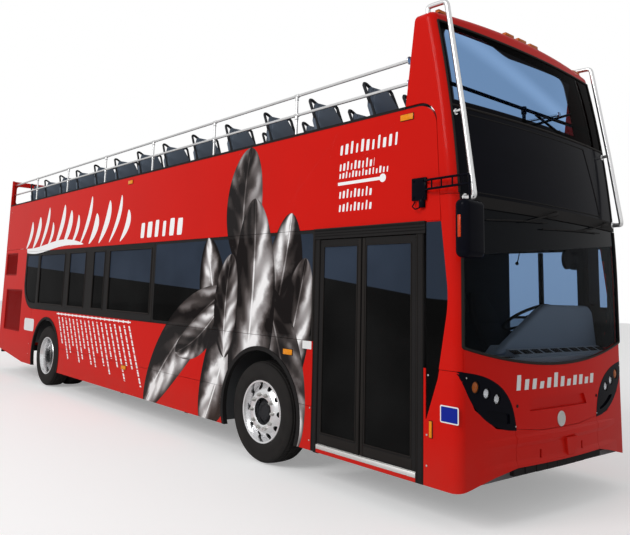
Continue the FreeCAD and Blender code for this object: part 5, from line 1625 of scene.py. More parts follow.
@dataclass
class UpperDeck:
    """Seats, guard rails and their fittings on the open deck."""

    rail_y: float = 1.212
    rail_heights: Pair = (3.420, 3.620)
    rail_radius: float = 0.0145
    rail_ends: Pair = (-8.340, 1.837)
    sill: float = 3.204
    first_post: float = 0.392
    post_pitch: float = 1.482
    post_count: int = 6
    deck: float = 2.4003
    screen_rail: Pair = (2.085, 3.412)
    screen_rail_half: float = 1.2345
    screen_rail_radius: float = 0.0165
    screen_post_y: float = 0.100
    brace_radius: float = 0.0125

    def _screen_rail(self, shape: Shape) -> None:
        """Add the cross rail behind the upper screen with its post, flanges and two braces.

        Args:
            shape: The shape that takes them.
        """
        shape.slot_index = 1
        x, z = station(self.screen_rail[0]), self.screen_rail[1]
        half, post, radius = self.screen_rail_half, self.screen_post_y, self.screen_rail_radius
        shape.rod((x, -half, z), (x, half, z), radius, segments=20)
        shape.rod((x, post, self.deck), (x, post, z), radius, segments=20)
        shape.rod((x, post, self.deck), (x, post, 2.410), 0.040, segments=24, bevel=0.002)
        for side in (-1, 1):
            shape.rod((x, side * half, z), (x, side * 1.224, z), 0.034, segments=20, bevel=0.002)
        shape.rod((x, post, z - 0.050), (x, post, z + 0.022), 0.024, segments=20, bevel=0.004)
        shape.rod((x - 0.006, 0.112, 3.236), (x - 0.018, 1.040, 3.556), self.brace_radius, segments=14)
        shape.rod((x - 0.012, 0.330, z - 0.010), (x - 0.024, 1.120, 3.216), self.brace_radius, segments=14)

    def rails(self) -> None:
        """Build the two rails a side with their posts, sleeves, flanges and screws."""
        shape = Shape()
        y, sill = self.rail_y, self.sill
        rear, ahead = (station(x) for x in self.rail_ends)
        for z in self.rail_heights:
            shape.rod((rear, y, z), (ahead, y, z), self.rail_radius, segments=24)
            shape.rod((ahead - 0.012, y, z), (ahead, y, z), 0.034, segments=24, bevel=0.002)
        for k in range(self.post_count):
            x = station(self.first_post - k * self.post_pitch)
            shape.rod((x, y, sill), (x, y, self.rail_heights[1]), 0.0135, segments=20)
            shape.rod((x, y, sill), (x, y, sill + 0.009), 0.036, segments=28, bevel=0.002)
            screw = shape.rod((x + 0.026, y, sill + 0.008), (x + 0.026, y, sill + 0.013), 0.005, segments=6)
            shape.around(screw, (x, y, sill), 4, (0, 0, 1))
            for z in self.rail_heights:
                shape.rod((x - 0.030, y, z), (x + 0.030, y, z), self.rail_radius + 0.005, segments=24,
                          bevel=0.003)
                shape.rod((x, y, z - 0.048), (x, y, z - 0.012), 0.018, segments=20, bevel=0.002)
        shape.both_sides()
        self._screen_rail(shape)
        shape.piece("deck_rails", (RAIL_STEEL, FRAME_STEEL), "rail_steel", ["guard_rails"])

    def build(self) -> None:
        """Build the open deck's furniture, and the lower deck's seats with it."""
        SeatPlan().build()
        self.rails()


# Front and outside


@dataclass(frozen=True)
class Nose:
    """The bowed, raked front surface that pieces are set against."""

    tip: float = 2.420
    bow: float = 0.070
    chord: float = 1.240
    rake_start: float = 1.800
    rake_radius: float = 9.900
    corner_start: float = 1.199
    corner_middle: float = 1.190
    corner_radius: float = 0.085
    corner_depth: float = 0.0845

    def front(self, y: float, z: float) -> float:
        """Return the frame's X of the surface at a lateral place and a height."""
        rise = max(0.0, z - self.rake_start)
        return station(self.tip - rise * rise / (2 * self.rake_radius) - self.bow * (y / self.chord) ** 2)

    def surface(self, y: float, z: float) -> float:
        """Return the X of the surface with its rounded corners counted.

        Args:
            y: Lateral place.
            z: Height.

        Returns:
            The frame's X.
        """
        if abs(y) <= self.corner_start:
            return self.front(y, z)
        fall = max(self.corner_radius ** 2 - (abs(y) - self.corner_middle) ** 2, 0.0)
        return self.front(self.corner_start, z) - self.corner_depth + math.sqrt(fall)

    def run(self, start: Pair, end: Pair, steps: int, out: float) -> list[Point]:
        """Return points along the surface.

        Args:
            start: (Y, Z) of the first point.
            end: (Y, Z) of the last point.
            steps: Number of steps between them.
            out: How far in front of the surface they lie.

        Returns:
            The points.
        """
        flat = [tuple(a + (b - a) * k / steps for a, b in zip(start, end)) for k in range(steps + 1)]
        return [(self.front(y, z) + out, y, z) for y, z in flat]


NOSE = Nose()


@dataclass
class OutsideFittings:
    """Branch guards, mirrors, wipers and the lamps that stand on the body."""

    guard_y: float = 1.190
    guard_radius: float = 0.0215
    guard_bend: float = 0.085
    guard_top: float = 3.976
    guard_stay: float = 3.095
    guard_foot: float = 2.412
    mirror_y: float = 1.330
    arms: Pair = (2.556, 2.484)
    arm_radius: float = 0.0095
    rungs: tuple[float, ...] = (2.150, 2.240, 2.340, 2.430)
    side_lamps: Outline = ((-3.054, 3.108), (1.862, 3.112), (-2.920, 0.602), (0.437, 1.102))
    roof_lamps: Pair = (0.201, 1.092)
    crown: float = 4.020
    crown_bow: float = 0.050
    tail_lamp: tuple[float, float, float] = (1.120, 1.130, 0.120)
    tail_slots: tuple[int, ...] = (3, 1, 1, 2)
    tail_ring: Outline = ((0.0, 0.050), (-0.010, 0.050), (-0.013, 0.046), (-0.006, 0.042), (0.0, 0.042))
    tail_lens: Outline = ((-0.004, 0.0), (-0.0125, 0.0), (-0.011, 0.020), (-0.006, 0.0415), (0.0, 0.0415))
    wiper_pivot: float = 2.400
    wiper_pairs: tuple[tuple[float, Pair, tuple[Pair, Pair]], ...] = (
        (-0.007, (-0.494, 2.287), ((-0.969, 2.262), (-0.141, 2.310))),
        (0.971, (0.598, 2.320), ((-0.223, 2.252), (0.825, 2.302))))

    def branch_guards(self) -> None:
        """Build the bent bar down each front corner, with its stay and foot."""
        shape = Shape()
        y, top, stay, low = self.guard_y, self.guard_top, self.guard_stay, self.guard_foot
        foot = NOSE.front(y, low) + 0.011
        route = at((2.008, y, top), (2.008, y, top + 0.066), (2.192, y, top + 0.058), (2.340, y, 3.103),
                   (2.436, y, low))
        shape.bar(route + [(foot, y, low)], self.guard_radius, self.guard_bend, 4)
        seat = NOSE.surface(y, stay) - 0.003
        shape.rod((seat, y, stay), (station(2.342), y, stay + 0.010), 0.015, segments=16)
        shape.rod((seat - 0.001, y, stay), (seat + 0.008, y, stay), 0.026, segments=20, bevel=0.002)
        shape.rod((foot - 0.002, y, low), (foot + 0.008, y, low), 0.032, segments=20, bevel=0.002)
        shape.both_sides()
        shape.piece("corner_guards", RAIL_STEEL, "rail_steel", ["branch_guards"])

    def _mirror_head(self, shape: Shape, low: Point, high: Point, rim: float = 0.050) -> None:
        """Add a rounded housing with its glass set in the rear face.

        Args:
            shape: The shape that takes it.
            low: Lowest corner.
            high: Highest corner.
            rim: Width of the rim round the glass.
        """
        shape.slot_index = 0
        shape.box(low, high, 0.048, 6)
        shape.slot_index = 1
        x = low[0]
        shape.box((x - 0.0015, low[1] + rim, low[2] + rim), (x + 0.004, high[1] - rim, high[2] - rim),
                  0.001, 1)
        shape.slot_index = 0

    def _door_mirror(self, shape: Shape) -> None:
        """Add the wall plate, hinge and cable, the ladder of two arms, and the head with its repeater.

        Args:
            shape: The shape that takes them.
        """
        wall, y = -HALF_WIDTH, -self.mirror_y
        upper, lower = self.arms
        shape.box(*at((1.925, wall - 0.022, 2.408), (2.066, wall - 0.0005, 2.590)), 0.006)
        for x in (1.947, 2.044):
            for z in (2.432, 2.566):
                shape.rod(*at((x, wall - 0.020, z), (x, wall - 0.030, z)), 0.009, segments=6, bevel=0.001)
        shape.rod(*at((2.024, wall - 0.012, 2.415), (2.024, wall - 0.012, 2.350)), 0.026, segments=20,
                  bevel=0.006)
        shape.bar(at((2.010, wall - 0.02, 2.352), (1.985, wall - 0.05, 2.335), (1.945, wall - 0.035, 2.362),
                     (1.950, wall - 0.008, 2.400)), 0.005, 0.02, 2)
        shape.bar(at((2.050, wall - 0.014, upper), (2.120, y, upper), (2.492, y, 2.560), (2.492, y, 2.330)),
                  self.arm_radius, 0.05, 3)
        shape.bar(at((2.050, wall - 0.014, lower), (2.120, y, lower), (2.488, y, 2.490)), self.arm_radius,
                  0.04, 3)
        for x in self.rungs:
            shape.rod(*at((x, y, lower), (x, y, 2.558)), 0.0065, segments=10)
        self._mirror_head(shape, *at((2.444, -1.468, 1.940), (2.560, -1.222, 2.364)))
        shape.slot_index = 2
        shape.box(*at((2.486, -1.4745, 2.085), (2.512, -1.455, 2.245)), 0.005)
        shape.slot_index = 0

    def mirrors(self) -> None:
        """Build the ladder-arm mirror on the door side and the arm mirror on the driver's side."""
        shape = Shape()
        self._door_mirror(shape)
        wall, y, z = HALF_WIDTH, 1.350, 2.330
        shape.box(*at((2.075, wall + 0.0005, 2.250), (2.165, wall + 0.022, 2.420)), 0.006)
        shape.bar(at((2.120, wall + 0.012, z), (2.060, y, z), (1.915, y, z)), 0.011, 0.04, 3)
        self._mirror_head(shape, *at((1.820, wall + 0.010, 1.990), (1.925, 1.430, 2.390)))
        shape.piece("mirrors_dressed", (BLACK_GLOSS, MIRROR_SILVER, REPEATER_LENS), "dark_trim", ["mirrors"])

    def wipers(self) -> None:
        """Build two arms with their pivot caps, their blades and the bows that carry them."""
        shape = Shape()
        z = self.wiper_pivot
        across, deep, lift = Vector((0.0, 0.0, 0.014)), Vector((0.008, 0.0, 0.0)), Vector((0.009, 0.0, 0.004))
        for pivot_y, elbow, ends in self.wiper_pairs:
            seat = NOSE.front(pivot_y, z) + 0.0125
            shape.rod((seat, pivot_y, z), (seat + 0.034, pivot_y, z), 0.022, 0.017, 20, 0.003)
            tip = Vector((NOSE.front(*elbow) + 0.036, *elbow))
            root = Vector((seat + 0.026, pivot_y, z))
            knee = root.lerp(tip, 0.36)
            shape.slab([root - across - deep, root + across - deep, knee + across * 0.8 - deep,
                        knee - across * 0.8 - deep], deep * 2.2, 0.003)
            shape.rod(knee - (knee - root) * 0.05, tip, 0.0075, 0.0055, 10)
            a, b = (Vector((NOSE.front(*end) + 0.016, *end)) for end in ends)
            shape.bar([a, a.lerp(b, 0.5) + lift * 0.6, b], 0.0058, 0.25, 2)
            bow = ((0.12, 0.0), (0.3, 1.0), (0.5, 1.3), (0.7, 1.0), (0.88, 0.0))
            shape.bar([a.lerp(b, part) + lift * high for part, high in bow], 0.0055, 0.1, 2)
            shape.rod(tip, a.lerp(b, 0.56) + lift, 0.0065, segments=10)
        shape.piece("wipers_dressed", TRIM, "dark_trim", ["wipers"])

    def _side_lamp(self, shape: Shape, place: Pair, length: float = 0.140, height: float = 0.058) -> None:
        """Add one rectangular side lamp, its gasket and its lens, at a (station, height).

        Args:
            shape: The shape that takes it.
            place: Its (station, height).
            length: Length of the gasket.
            height: Height of the gasket.
        """
        x, z, y = station(place[0]), place[1], HALF_WIDTH
        for slot, inset, drop, near, far, bevel in ((0, 0.0, 0.0, 0.0003, 0.004, 0.0015),
                                                    (1, 0.005, 0.004, 0.003, 0.0105, 0.003)):
            shape.slot_index = slot
            half, rise = length / 2 - inset, height / 2 - drop
            shape.box((x - half, y + near, z - rise), (x + half, y + far, z + rise), bevel, slot + 1)

    def _roof_lamp(self, shape: Shape, y: float) -> None:
        """Add one marker lamp on the crown over the upper screen.

        Args:
            shape: The shape that takes it.
            y: Its lateral place.
        """
        edge = max(abs(y) - 0.055, 0.0)
        seat = self.crown - self.crown_bow * (edge / HALF_WIDTH) ** 2
        x = NOSE.front(y, self.crown) - 0.066
        shape.slot_index = 0
        shape.box((x - 0.004, y - 0.072, seat - 0.022), (x + 0.046, y + 0.072, seat - 0.006), 0.003, 1)
        shape.slot_index = 2
        shape.box((x, y - 0.068, seat - 0.010), (x + 0.042, y + 0.068, seat + 0.024), 0.008, 3)

    def lamps(self) -> None:
        """Build the side markers, the roof markers and the round tail lamps."""
        shape = Shape()
        for place in self.side_lamps:
            self._side_lamp(shape, place)
        self._side_lamp(shape, (2.100, 0.686), 0.034, 0.126)
        for y in self.roof_lamps:
            self._roof_lamp(shape, y)
        shape.both_sides()
        self._roof_lamp(shape, 0.0)
        shape.piece("marker_lamps_dressed", (TRIM, AMBER_LENS, ORANGE_LENS), "lamp_amber", ["marker_lamps"])
        tail = Shape()
        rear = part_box("rear_panel")[0].x + 0.0104
        y, low, pitch = self.tail_lamp
        for k, slot in enumerate(self.tail_slots):
            centre = (rear, y, low + pitch * k)
            tail.slot_index = 0
            tail.lathe(self.tail_ring, centre, (1, 0, 0), 36)
            tail.slot_index = slot
            tail.lathe(self.tail_lens, centre, (1, 0, 0), 36, closed=False)
        tail.both_sides()
        tail.piece("tail_lamps", (TRIM, RED_LENS, AMBER_LENS, CLEAR_LENS), "lamp_amber")

    def build(self) -> None:
        """Build all outside fittings."""
        self.branch_guards()
        self.mirrors()
        self.wipers()
        self.lamps()


@dataclass
class FrontFace:
    """Lamp clusters of the front, as (Y, Z, radius), and the covers round them."""

    lamps: tuple[tuple[float, float, float], ...] = (
        (-1.097, 1.012, 0.047), (-0.977, 0.962, 0.042), (-0.857, 0.915, 0.042))
    cover: Outline = (
        (-1.270, 1.130), (-1.262, 1.128), (-1.100, 1.108), (-0.950, 1.072), (-0.800, 1.002), (-0.700, 0.900),
        (-0.655, 0.800), (-0.628, 0.672), (-0.632, 0.668), (-0.780, 0.684), (-0.930, 0.732), (-1.050, 0.806),
        (-1.150, 0.908), (-1.215, 1.010))
    trough: Outline = (
        (-1.010, 0.842), (-0.870, 0.828), (-0.722, 0.800), (-0.712, 0.790), (-0.708, 0.732), (-0.716, 0.722),
        (-0.830, 0.746), (-0.950, 0.798))
    block: tuple[Pair, Pair] = ((-1.273, -0.570), (0.610, 1.170))
    block_cuts: int = 26
    screws: Outline = ((-1.196, 1.082), (-0.640, 0.700))
    lamp_seat: float = 0.006

    def lamp_clusters(self) -> None:
        """Build three round lamps a side: bezel, bowl, bulb and domed lens."""
        shape, glass = Shape(), Shape()
        for number, (y, z, radius) in enumerate(self.lamps):
            centre = (NOSE.front(y, z) - self.lamp_seat, y, z)
            inside = radius - 0.007
            shape.slot_index = 1
            shape.lathe([(-0.006, radius - 0.0005), (0.002, radius - 0.0005), (0.004, radius - 0.004),
                         (0.002, inside), (-0.006, inside)], centre, (1, 0, 0), 40)
            shape.slot_index = 0 if number else 2
            bowl = [(-0.004, radius - 0.006), (-0.026, radius * 0.55), (-0.034, radius * 0.2), (-0.034, 0.0)]
            shape.lathe(bowl, centre, (1, 0, 0), 40, closed=False)
            shape.ball((centre[0] - 0.020, y, z), radius * 0.22, 12)
            glass.slot_index = 0 if number else 1
            glass.lathe([(0.006, 0.0), (0.004, radius * 0.5), (-0.002, inside), (-0.005, inside),
                         (0.001, radius * 0.5), (0.003, 0.0)], centre, (1, 0, 0), 40, closed=False)
        for each in (shape, glass):
            each.both_sides()
        shape.piece("lamp_bowls", (CHROME, TRIM, BROWN_LENS), "lamp_clear", ["front_lamps"])
        glass.piece("lamp_lenses", (LAMP_GLASS, BROWN_LENS), "lamp_clear")

    def _skin(self, outline: Outline, low: float, high: float) -> Shape:
        """Cut a plate that follows the nose.

        Args:
            outline: Its (Y, Z) outline.
            low: How far in front of the nose its back lies.
            high: How far in front of the nose its face lies.

        Returns:
            The plate.
        """
        block, window = Shape(), Shape()
        (y0, y1), (z0, z1) = self.block
        made = block.box((low, y0, z0), (high, y1, z1))
        bmesh.ops.subdivide_edges(block.bm, edges=list({e for v in made for e in v.link_edges}),
                                  cuts=self.block_cuts, use_grid_fill=True)
        for vert in block.bm.verts:
            vert.co.x += NOSE.surface(vert.co.y, vert.co.z)
        window.curved_plate(outline, station(2.0), station(2.6))
        return combined(block, window, Keep.SHARED)

    def masks(self) -> None:
        """Build the smooth black cover round each cluster, with its holes, trough and screws."""
        cover = self._skin(self.cover, -0.0165, 0.0015)
        cutters = self._skin(self.trough, -0.0120, 0.0300)
        for y, z, radius in self.lamps:
            cutters.rod(*at((2.2, y, z), (2.5, y, z)), radius, segments=48)
        whole = combined(cover, cutters)
        whole.slot_index = 1
        for y, z in self.screws:
            x = NOSE.front(y, z)
            whole.rod((x - 0.004, y, z), (x + 0.0035, y, z), 0.006, segments=12, bevel=0.001)
        whole.both_sides()
        whole.piece("headlamp_covers", (BLACK_GLOSS, NUT_STEEL), "dark_trim", ["headlamp_masks"])

    def build(self) -> None:
        """Build the front's lamps and their covers."""
        self.lamp_clusters()
        self.masks()


# Sides and entrance


@dataclass
class Entrance:
    """Rubbers, fixings, gutter and sill strip of the two-leaf door."""

    rear_edge: float = 0.849
    front_edge: float = 1.957
    meeting: float = 1.370
    gap: float = 0.006
    rubber: float = 0.018
    stile: float = 0.046
    glass: Pair = (0.450, 2.082)
    leaf: Pair = (0.353, 2.142)
    face: float = -1.270
    wall: float = -HALF_WIDTH

    def _leaf(self, name: str, ends: Pair, meeting: float, body: str) -> None:
        """Build one leaf's gasket, edge rubber, kick plate and hinge caps.

        Args:
            name: Name of the piece.
            ends: Stations of the leaf's edges.
            meeting: Station of its edge rubber.
            body: The body that it rides on.
        """
        shape = Shape()
        y, (low, high), (foot, head) = self.face, self.glass, self.leaf
        a, b = ends[0] + self.stile, ends[1] - self.stile
        shape.bar(upright(a, b, y - 0.0005, low, high), 0.0055, 0.018, 2, True)
        shape.box(*at((meeting - 0.016, y - 0.005, foot + 0.004), (meeting + 0.016, y + 0.006, head - 0.004)),
                  0.0045)
        shape.box(*at((a - 0.012, y - 0.0035, foot + 0.012), (b + 0.012, y + 0.004, low - 0.016)), 0.003)
        for x in (ends[0] + 0.012, ends[1] - 0.012):
            for z in (foot + 0.02, (foot + head) / 2, head - 0.02):
                shape.rod(*at((x, y + 0.002, z), (x, y - 0.003, z)), 0.0048, segments=12, bevel=0.001)
        shape.piece(name, RUBBER, "dark_trim", (), body)

    def header(self) -> None:
        """Build the rain gutter's bead over the door and the posts' fillets."""
        shape = Shape()
        wall = self.wall
        shape.box(*at((self.rear_edge - 0.078, wall - 0.015, 2.232), (2.050, wall + 0.004, 2.246)), 0.004)
        rear, front = self.rear_edge, self.front_edge
        for x in (rear - 0.060, rear - 0.010, front + 0.010, front + 0.058):
            shape.box(*at((x - 0.004, wall - 0.004, 0.285), (x + 0.004, wall + 0.003, 2.150)), 0.002, 1)
        shape.piece("door_gutter", RUBBER, "dark_trim")

    def sill(self) -> None:
        """Build the bright ridged tread strip and the red sill under it."""
        strip, red = Shape(), Shape()
        wall, x0, x1 = self.wall, self.rear_edge + 0.002, self.front_edge - 0.002
        strip.box(*at((x0, wall - 0.004, 0.308), (x1, wall + 0.012, 0.3462)), 0.003)
        strip.box(*at((x0, wall + 0.010, 0.3452), (x1, -1.214, 0.3492)), 0.0012, 1)
        ridge = strip.box(*at((x0, wall + 0.014, 0.3487), (x1, wall + 0.019, 0.3505)), 0.0006, 1)
        strip.shifted(ridge, [(0.0, 0.0085 * k, 0.0) for k in range(1, 5)])
        strip.piece("door_tread_strip", STRIP_ALLOY, "rail_steel")
        red.box(*at((x0, wall - 0.003, 0.2765), (x1, wall + 0.006, 0.3075)), 0.002, 1)
        red.piece("door_sill_panel", RED_PAINT, "red_paint")

    def build(self) -> None:
        """Build the entrance's fittings."""
        rear, front = self.meeting - self.gap, self.meeting + self.gap
        self._leaf("door_rear_rubbers", (self.rear_edge + self.gap, rear), rear - self.rubber, "door_rear")
        self._leaf("door_front_rubbers", (front, self.front_edge - self.gap), front + self.rubber,
                   "door_front")
        self.header()
        self.sill()


@dataclass
class SideFittings:
    """Window frames, screws, slatted vents, seals and blank labels on the sides, by station."""

    panes: Outline = ((-6.350, -5.230), (-5.020, -4.400), (-4.105, -3.720), (-3.560, -2.325))
    pane_heights: Pair = (1.330, 2.170)
    band_heights: Pair = (1.236, 2.236)
    posts: tuple[Pair, Pair] = ((-2.270, 0.765), (-2.270, 0.786))
    screw_spots: Outline = (
        (2.075, 1.075), (2.060, 0.420), (2.061, 0.640), (0.760, 0.360), (0.760, 0.640),
        (-6.630, 0.45), (-6.630, 0.62), (-8.17, 2.34), (-8.17, 3.05))
    white_labels: tuple[tuple[Pair, Pair, float], ...] = (
        ((0.640, 0.762), (1.152, 1.224), 0.004), ((-6.930, -6.445), (0.840, 1.052), 0.045),
        ((2.183, 2.345), (0.753, 0.877), 0.012))
    blue_label: tuple[Pair, Pair, float] = ((2.192, 2.336), (0.762, 0.868), 0.006)
    vents: tuple[tuple[Pair, Pair], ...] = (
        ((-8.230, -7.590), (1.810, 2.236)), ((-8.090, -7.180), (0.790, 1.550)))
    vent_rim: float = 0.024
    slat_pitch: float = 0.019
    lining_steps: int = 9
    lining_foot: float = 1.240
    lining_rise: float = 0.118
    cab_bars: tuple[tuple[Pair, Pair, float], ...] = (
        ((1.538, 1.580), (1.334, 2.166), 0.003), ((2.018, 2.062), (1.232, 2.236), -0.002))

    def window_frames(self) -> None:
        """Build the raised rubber frame round each framed pane and the beads at the band's ends."""
        shape = Shape()
        low, high = self.band_heights
        for y, posts in zip((-HALF_WIDTH, HALF_WIDTH), self.posts):
            for rear, ahead in self.panes:
                shape.bar(upright(rear, ahead, y, *self.pane_heights), 0.010, 0.05, 2, True)
            for x in posts:
                shape.box(*at((x - 0.012, y - 0.004, low), (x + 0.012, y + 0.004, high)), 0.003, 1)
        shape.piece("window_frames", RUBBER, "dark_trim")

    def screws(self) -> None:
        """Build the panel screws along the seams and round the front corner."""
        shape = Shape()
        for x, z in self.screw_spots:
            for side in (-1, 1):
                wall = side * HALF_WIDTH
                shape.rod(*at((x, wall - side * 0.001, z), (x, wall + side * 0.0035, z)), 0.0075, segments=12,
                          bevel=0.0012)
        shape.piece("panel_screws", NUT_STEEL, "rail_steel")

    @staticmethod
    def _label(shape: Shape, label: tuple[Pair, Pair, float], out: float) -> None:
        """Add one flat label.

        Args:
            shape: The shape that takes it.
            label: Its stations, its heights and the radius of its corners.
            out: How far it stands out of the wall.
        """
        (x0, x1), (z0, z1), radius = label
        made = shape.box(*at((x0, -HALF_WIDTH - out, z0), (x1, -HALF_WIDTH + 0.001, z1)))
        corners = [e for e in {e for v in made for e in v.link_edges}
                   if abs(e.verts[0].co.y - e.verts[1].co.y) > out * 0.5]
        bmesh.ops.bevel(shape.bm, geom=corners, offset=radius, segments=4, profile=0.5, affect="EDGES",
                        material=-1)

    def labels(self) -> None:
        """Build the blank labels: two white plates, and a blue one in a white border."""
        white, blue = Shape(), Shape()
        for label in self.white_labels:
            self._label(white, label, 0.0012)
        white.piece("blank_labels", LABEL_WHITE, "frame_steel")
        self._label(blue, self.blue_label, 0.0020)
        blue.piece("blank_blue_label", LABEL_BLUE, "frame_steel")

    def vent_meshes(self) -> None:
        """Build the finely slatted vents of the engine bay in their frames."""
        shape = Shape()
        wall, rim = HALF_WIDTH, self.vent_rim
        for (x0, x1), (z0, z1) in self.vents:
            low, high = station(x0), station(x1)
            shape.box((low + 0.02, wall - 0.028, z0 + 0.02), (high - 0.02, wall - 0.024, z1 - 0.02))
            for a, b in (((low, z0), (high, z0 + rim)), ((low, z1 - rim), (high, z1)),
                         ((low, z0 + 0.018), (low + rim, z1 - 0.018)),
                         ((high - rim, z0 + 0.018), (high, z1 - 0.018))):
                shape.box((a[0] + 0.0005, wall - 0.026, a[1] + 0.0005),
                          (b[0] - 0.0005, wall - 0.006, b[1] - 0.0005), 0.003, 1)
            section = ((-0.010, 0.026), (-0.008, 0.029), (-0.022, 0.044), (-0.024, 0.041))
            corners = [(low + 0.02, wall + y, z0 + z) for y, z in section]
            slat = shape.slab(corners, (high - low - 0.04, 0.0, 0.0))
            count = int((z1 - z0 - 0.070) / self.slat_pitch)
            shape.shifted(slat, [(0.0, 0.0, self.slat_pitch * k) for k in range(1, count + 1)])
        shape.both_sides()
        shape.piece("vent_meshes", MESH_RED, "red_paint", ["side_vents"])

    def corner_seams(self) -> None:
        """Build the dark seals of the upper corner seams and the linings of the front pillars."""
        seal = Shape()
        y = HALF_WIDTH - 0.022
        seal.bar(at((1.815, y, 3.187), (2.142, y, 3.187), (2.142, y, 2.900)), 0.0175, 0.175, 3)
        for k in range(self.lining_steps):
            z = self.lining_foot + self.lining_rise * k
            x = 2.256 - 0.30 * (z - 1.700) ** 2
            back = max(z - NOSE.rake_start, 0.0) ** 2 / (2 * NOSE.rake_radius)
            seal.slab(at((x, 1.2335, z), (x, 1.2290, z), (2.276 - back, 1.2290, z), (2.330 - back, 1.175, z),
                         (2.334 - back, 1.179, z), (2.280 - back, 1.2335, z)),
                      (0.0, 0.0, self.lining_rise + 0.0002))
        seal.both_sides()
        seal.piece("corner_seals", CAB_LINING, "dark_trim")

    def cab_bar(self) -> None:
        """Build the two upright bars of the driver's window."""
        shape = Shape()
        for (x0, x1), (z0, z1), out in self.cab_bars:
            shape.box(*at((x0, HALF_WIDTH - 0.034, z0), (x1, HALF_WIDTH + out, z1)), 0.004)
        shape.piece("cab_window_bar", RUBBER, "dark_trim")

    def build(self) -> None:
        """Build the sides' fittings."""
        self.window_frames()
        self.screws()
        self.labels()
        self.vent_meshes()
        self.corner_seams()
        self.cab_bar()


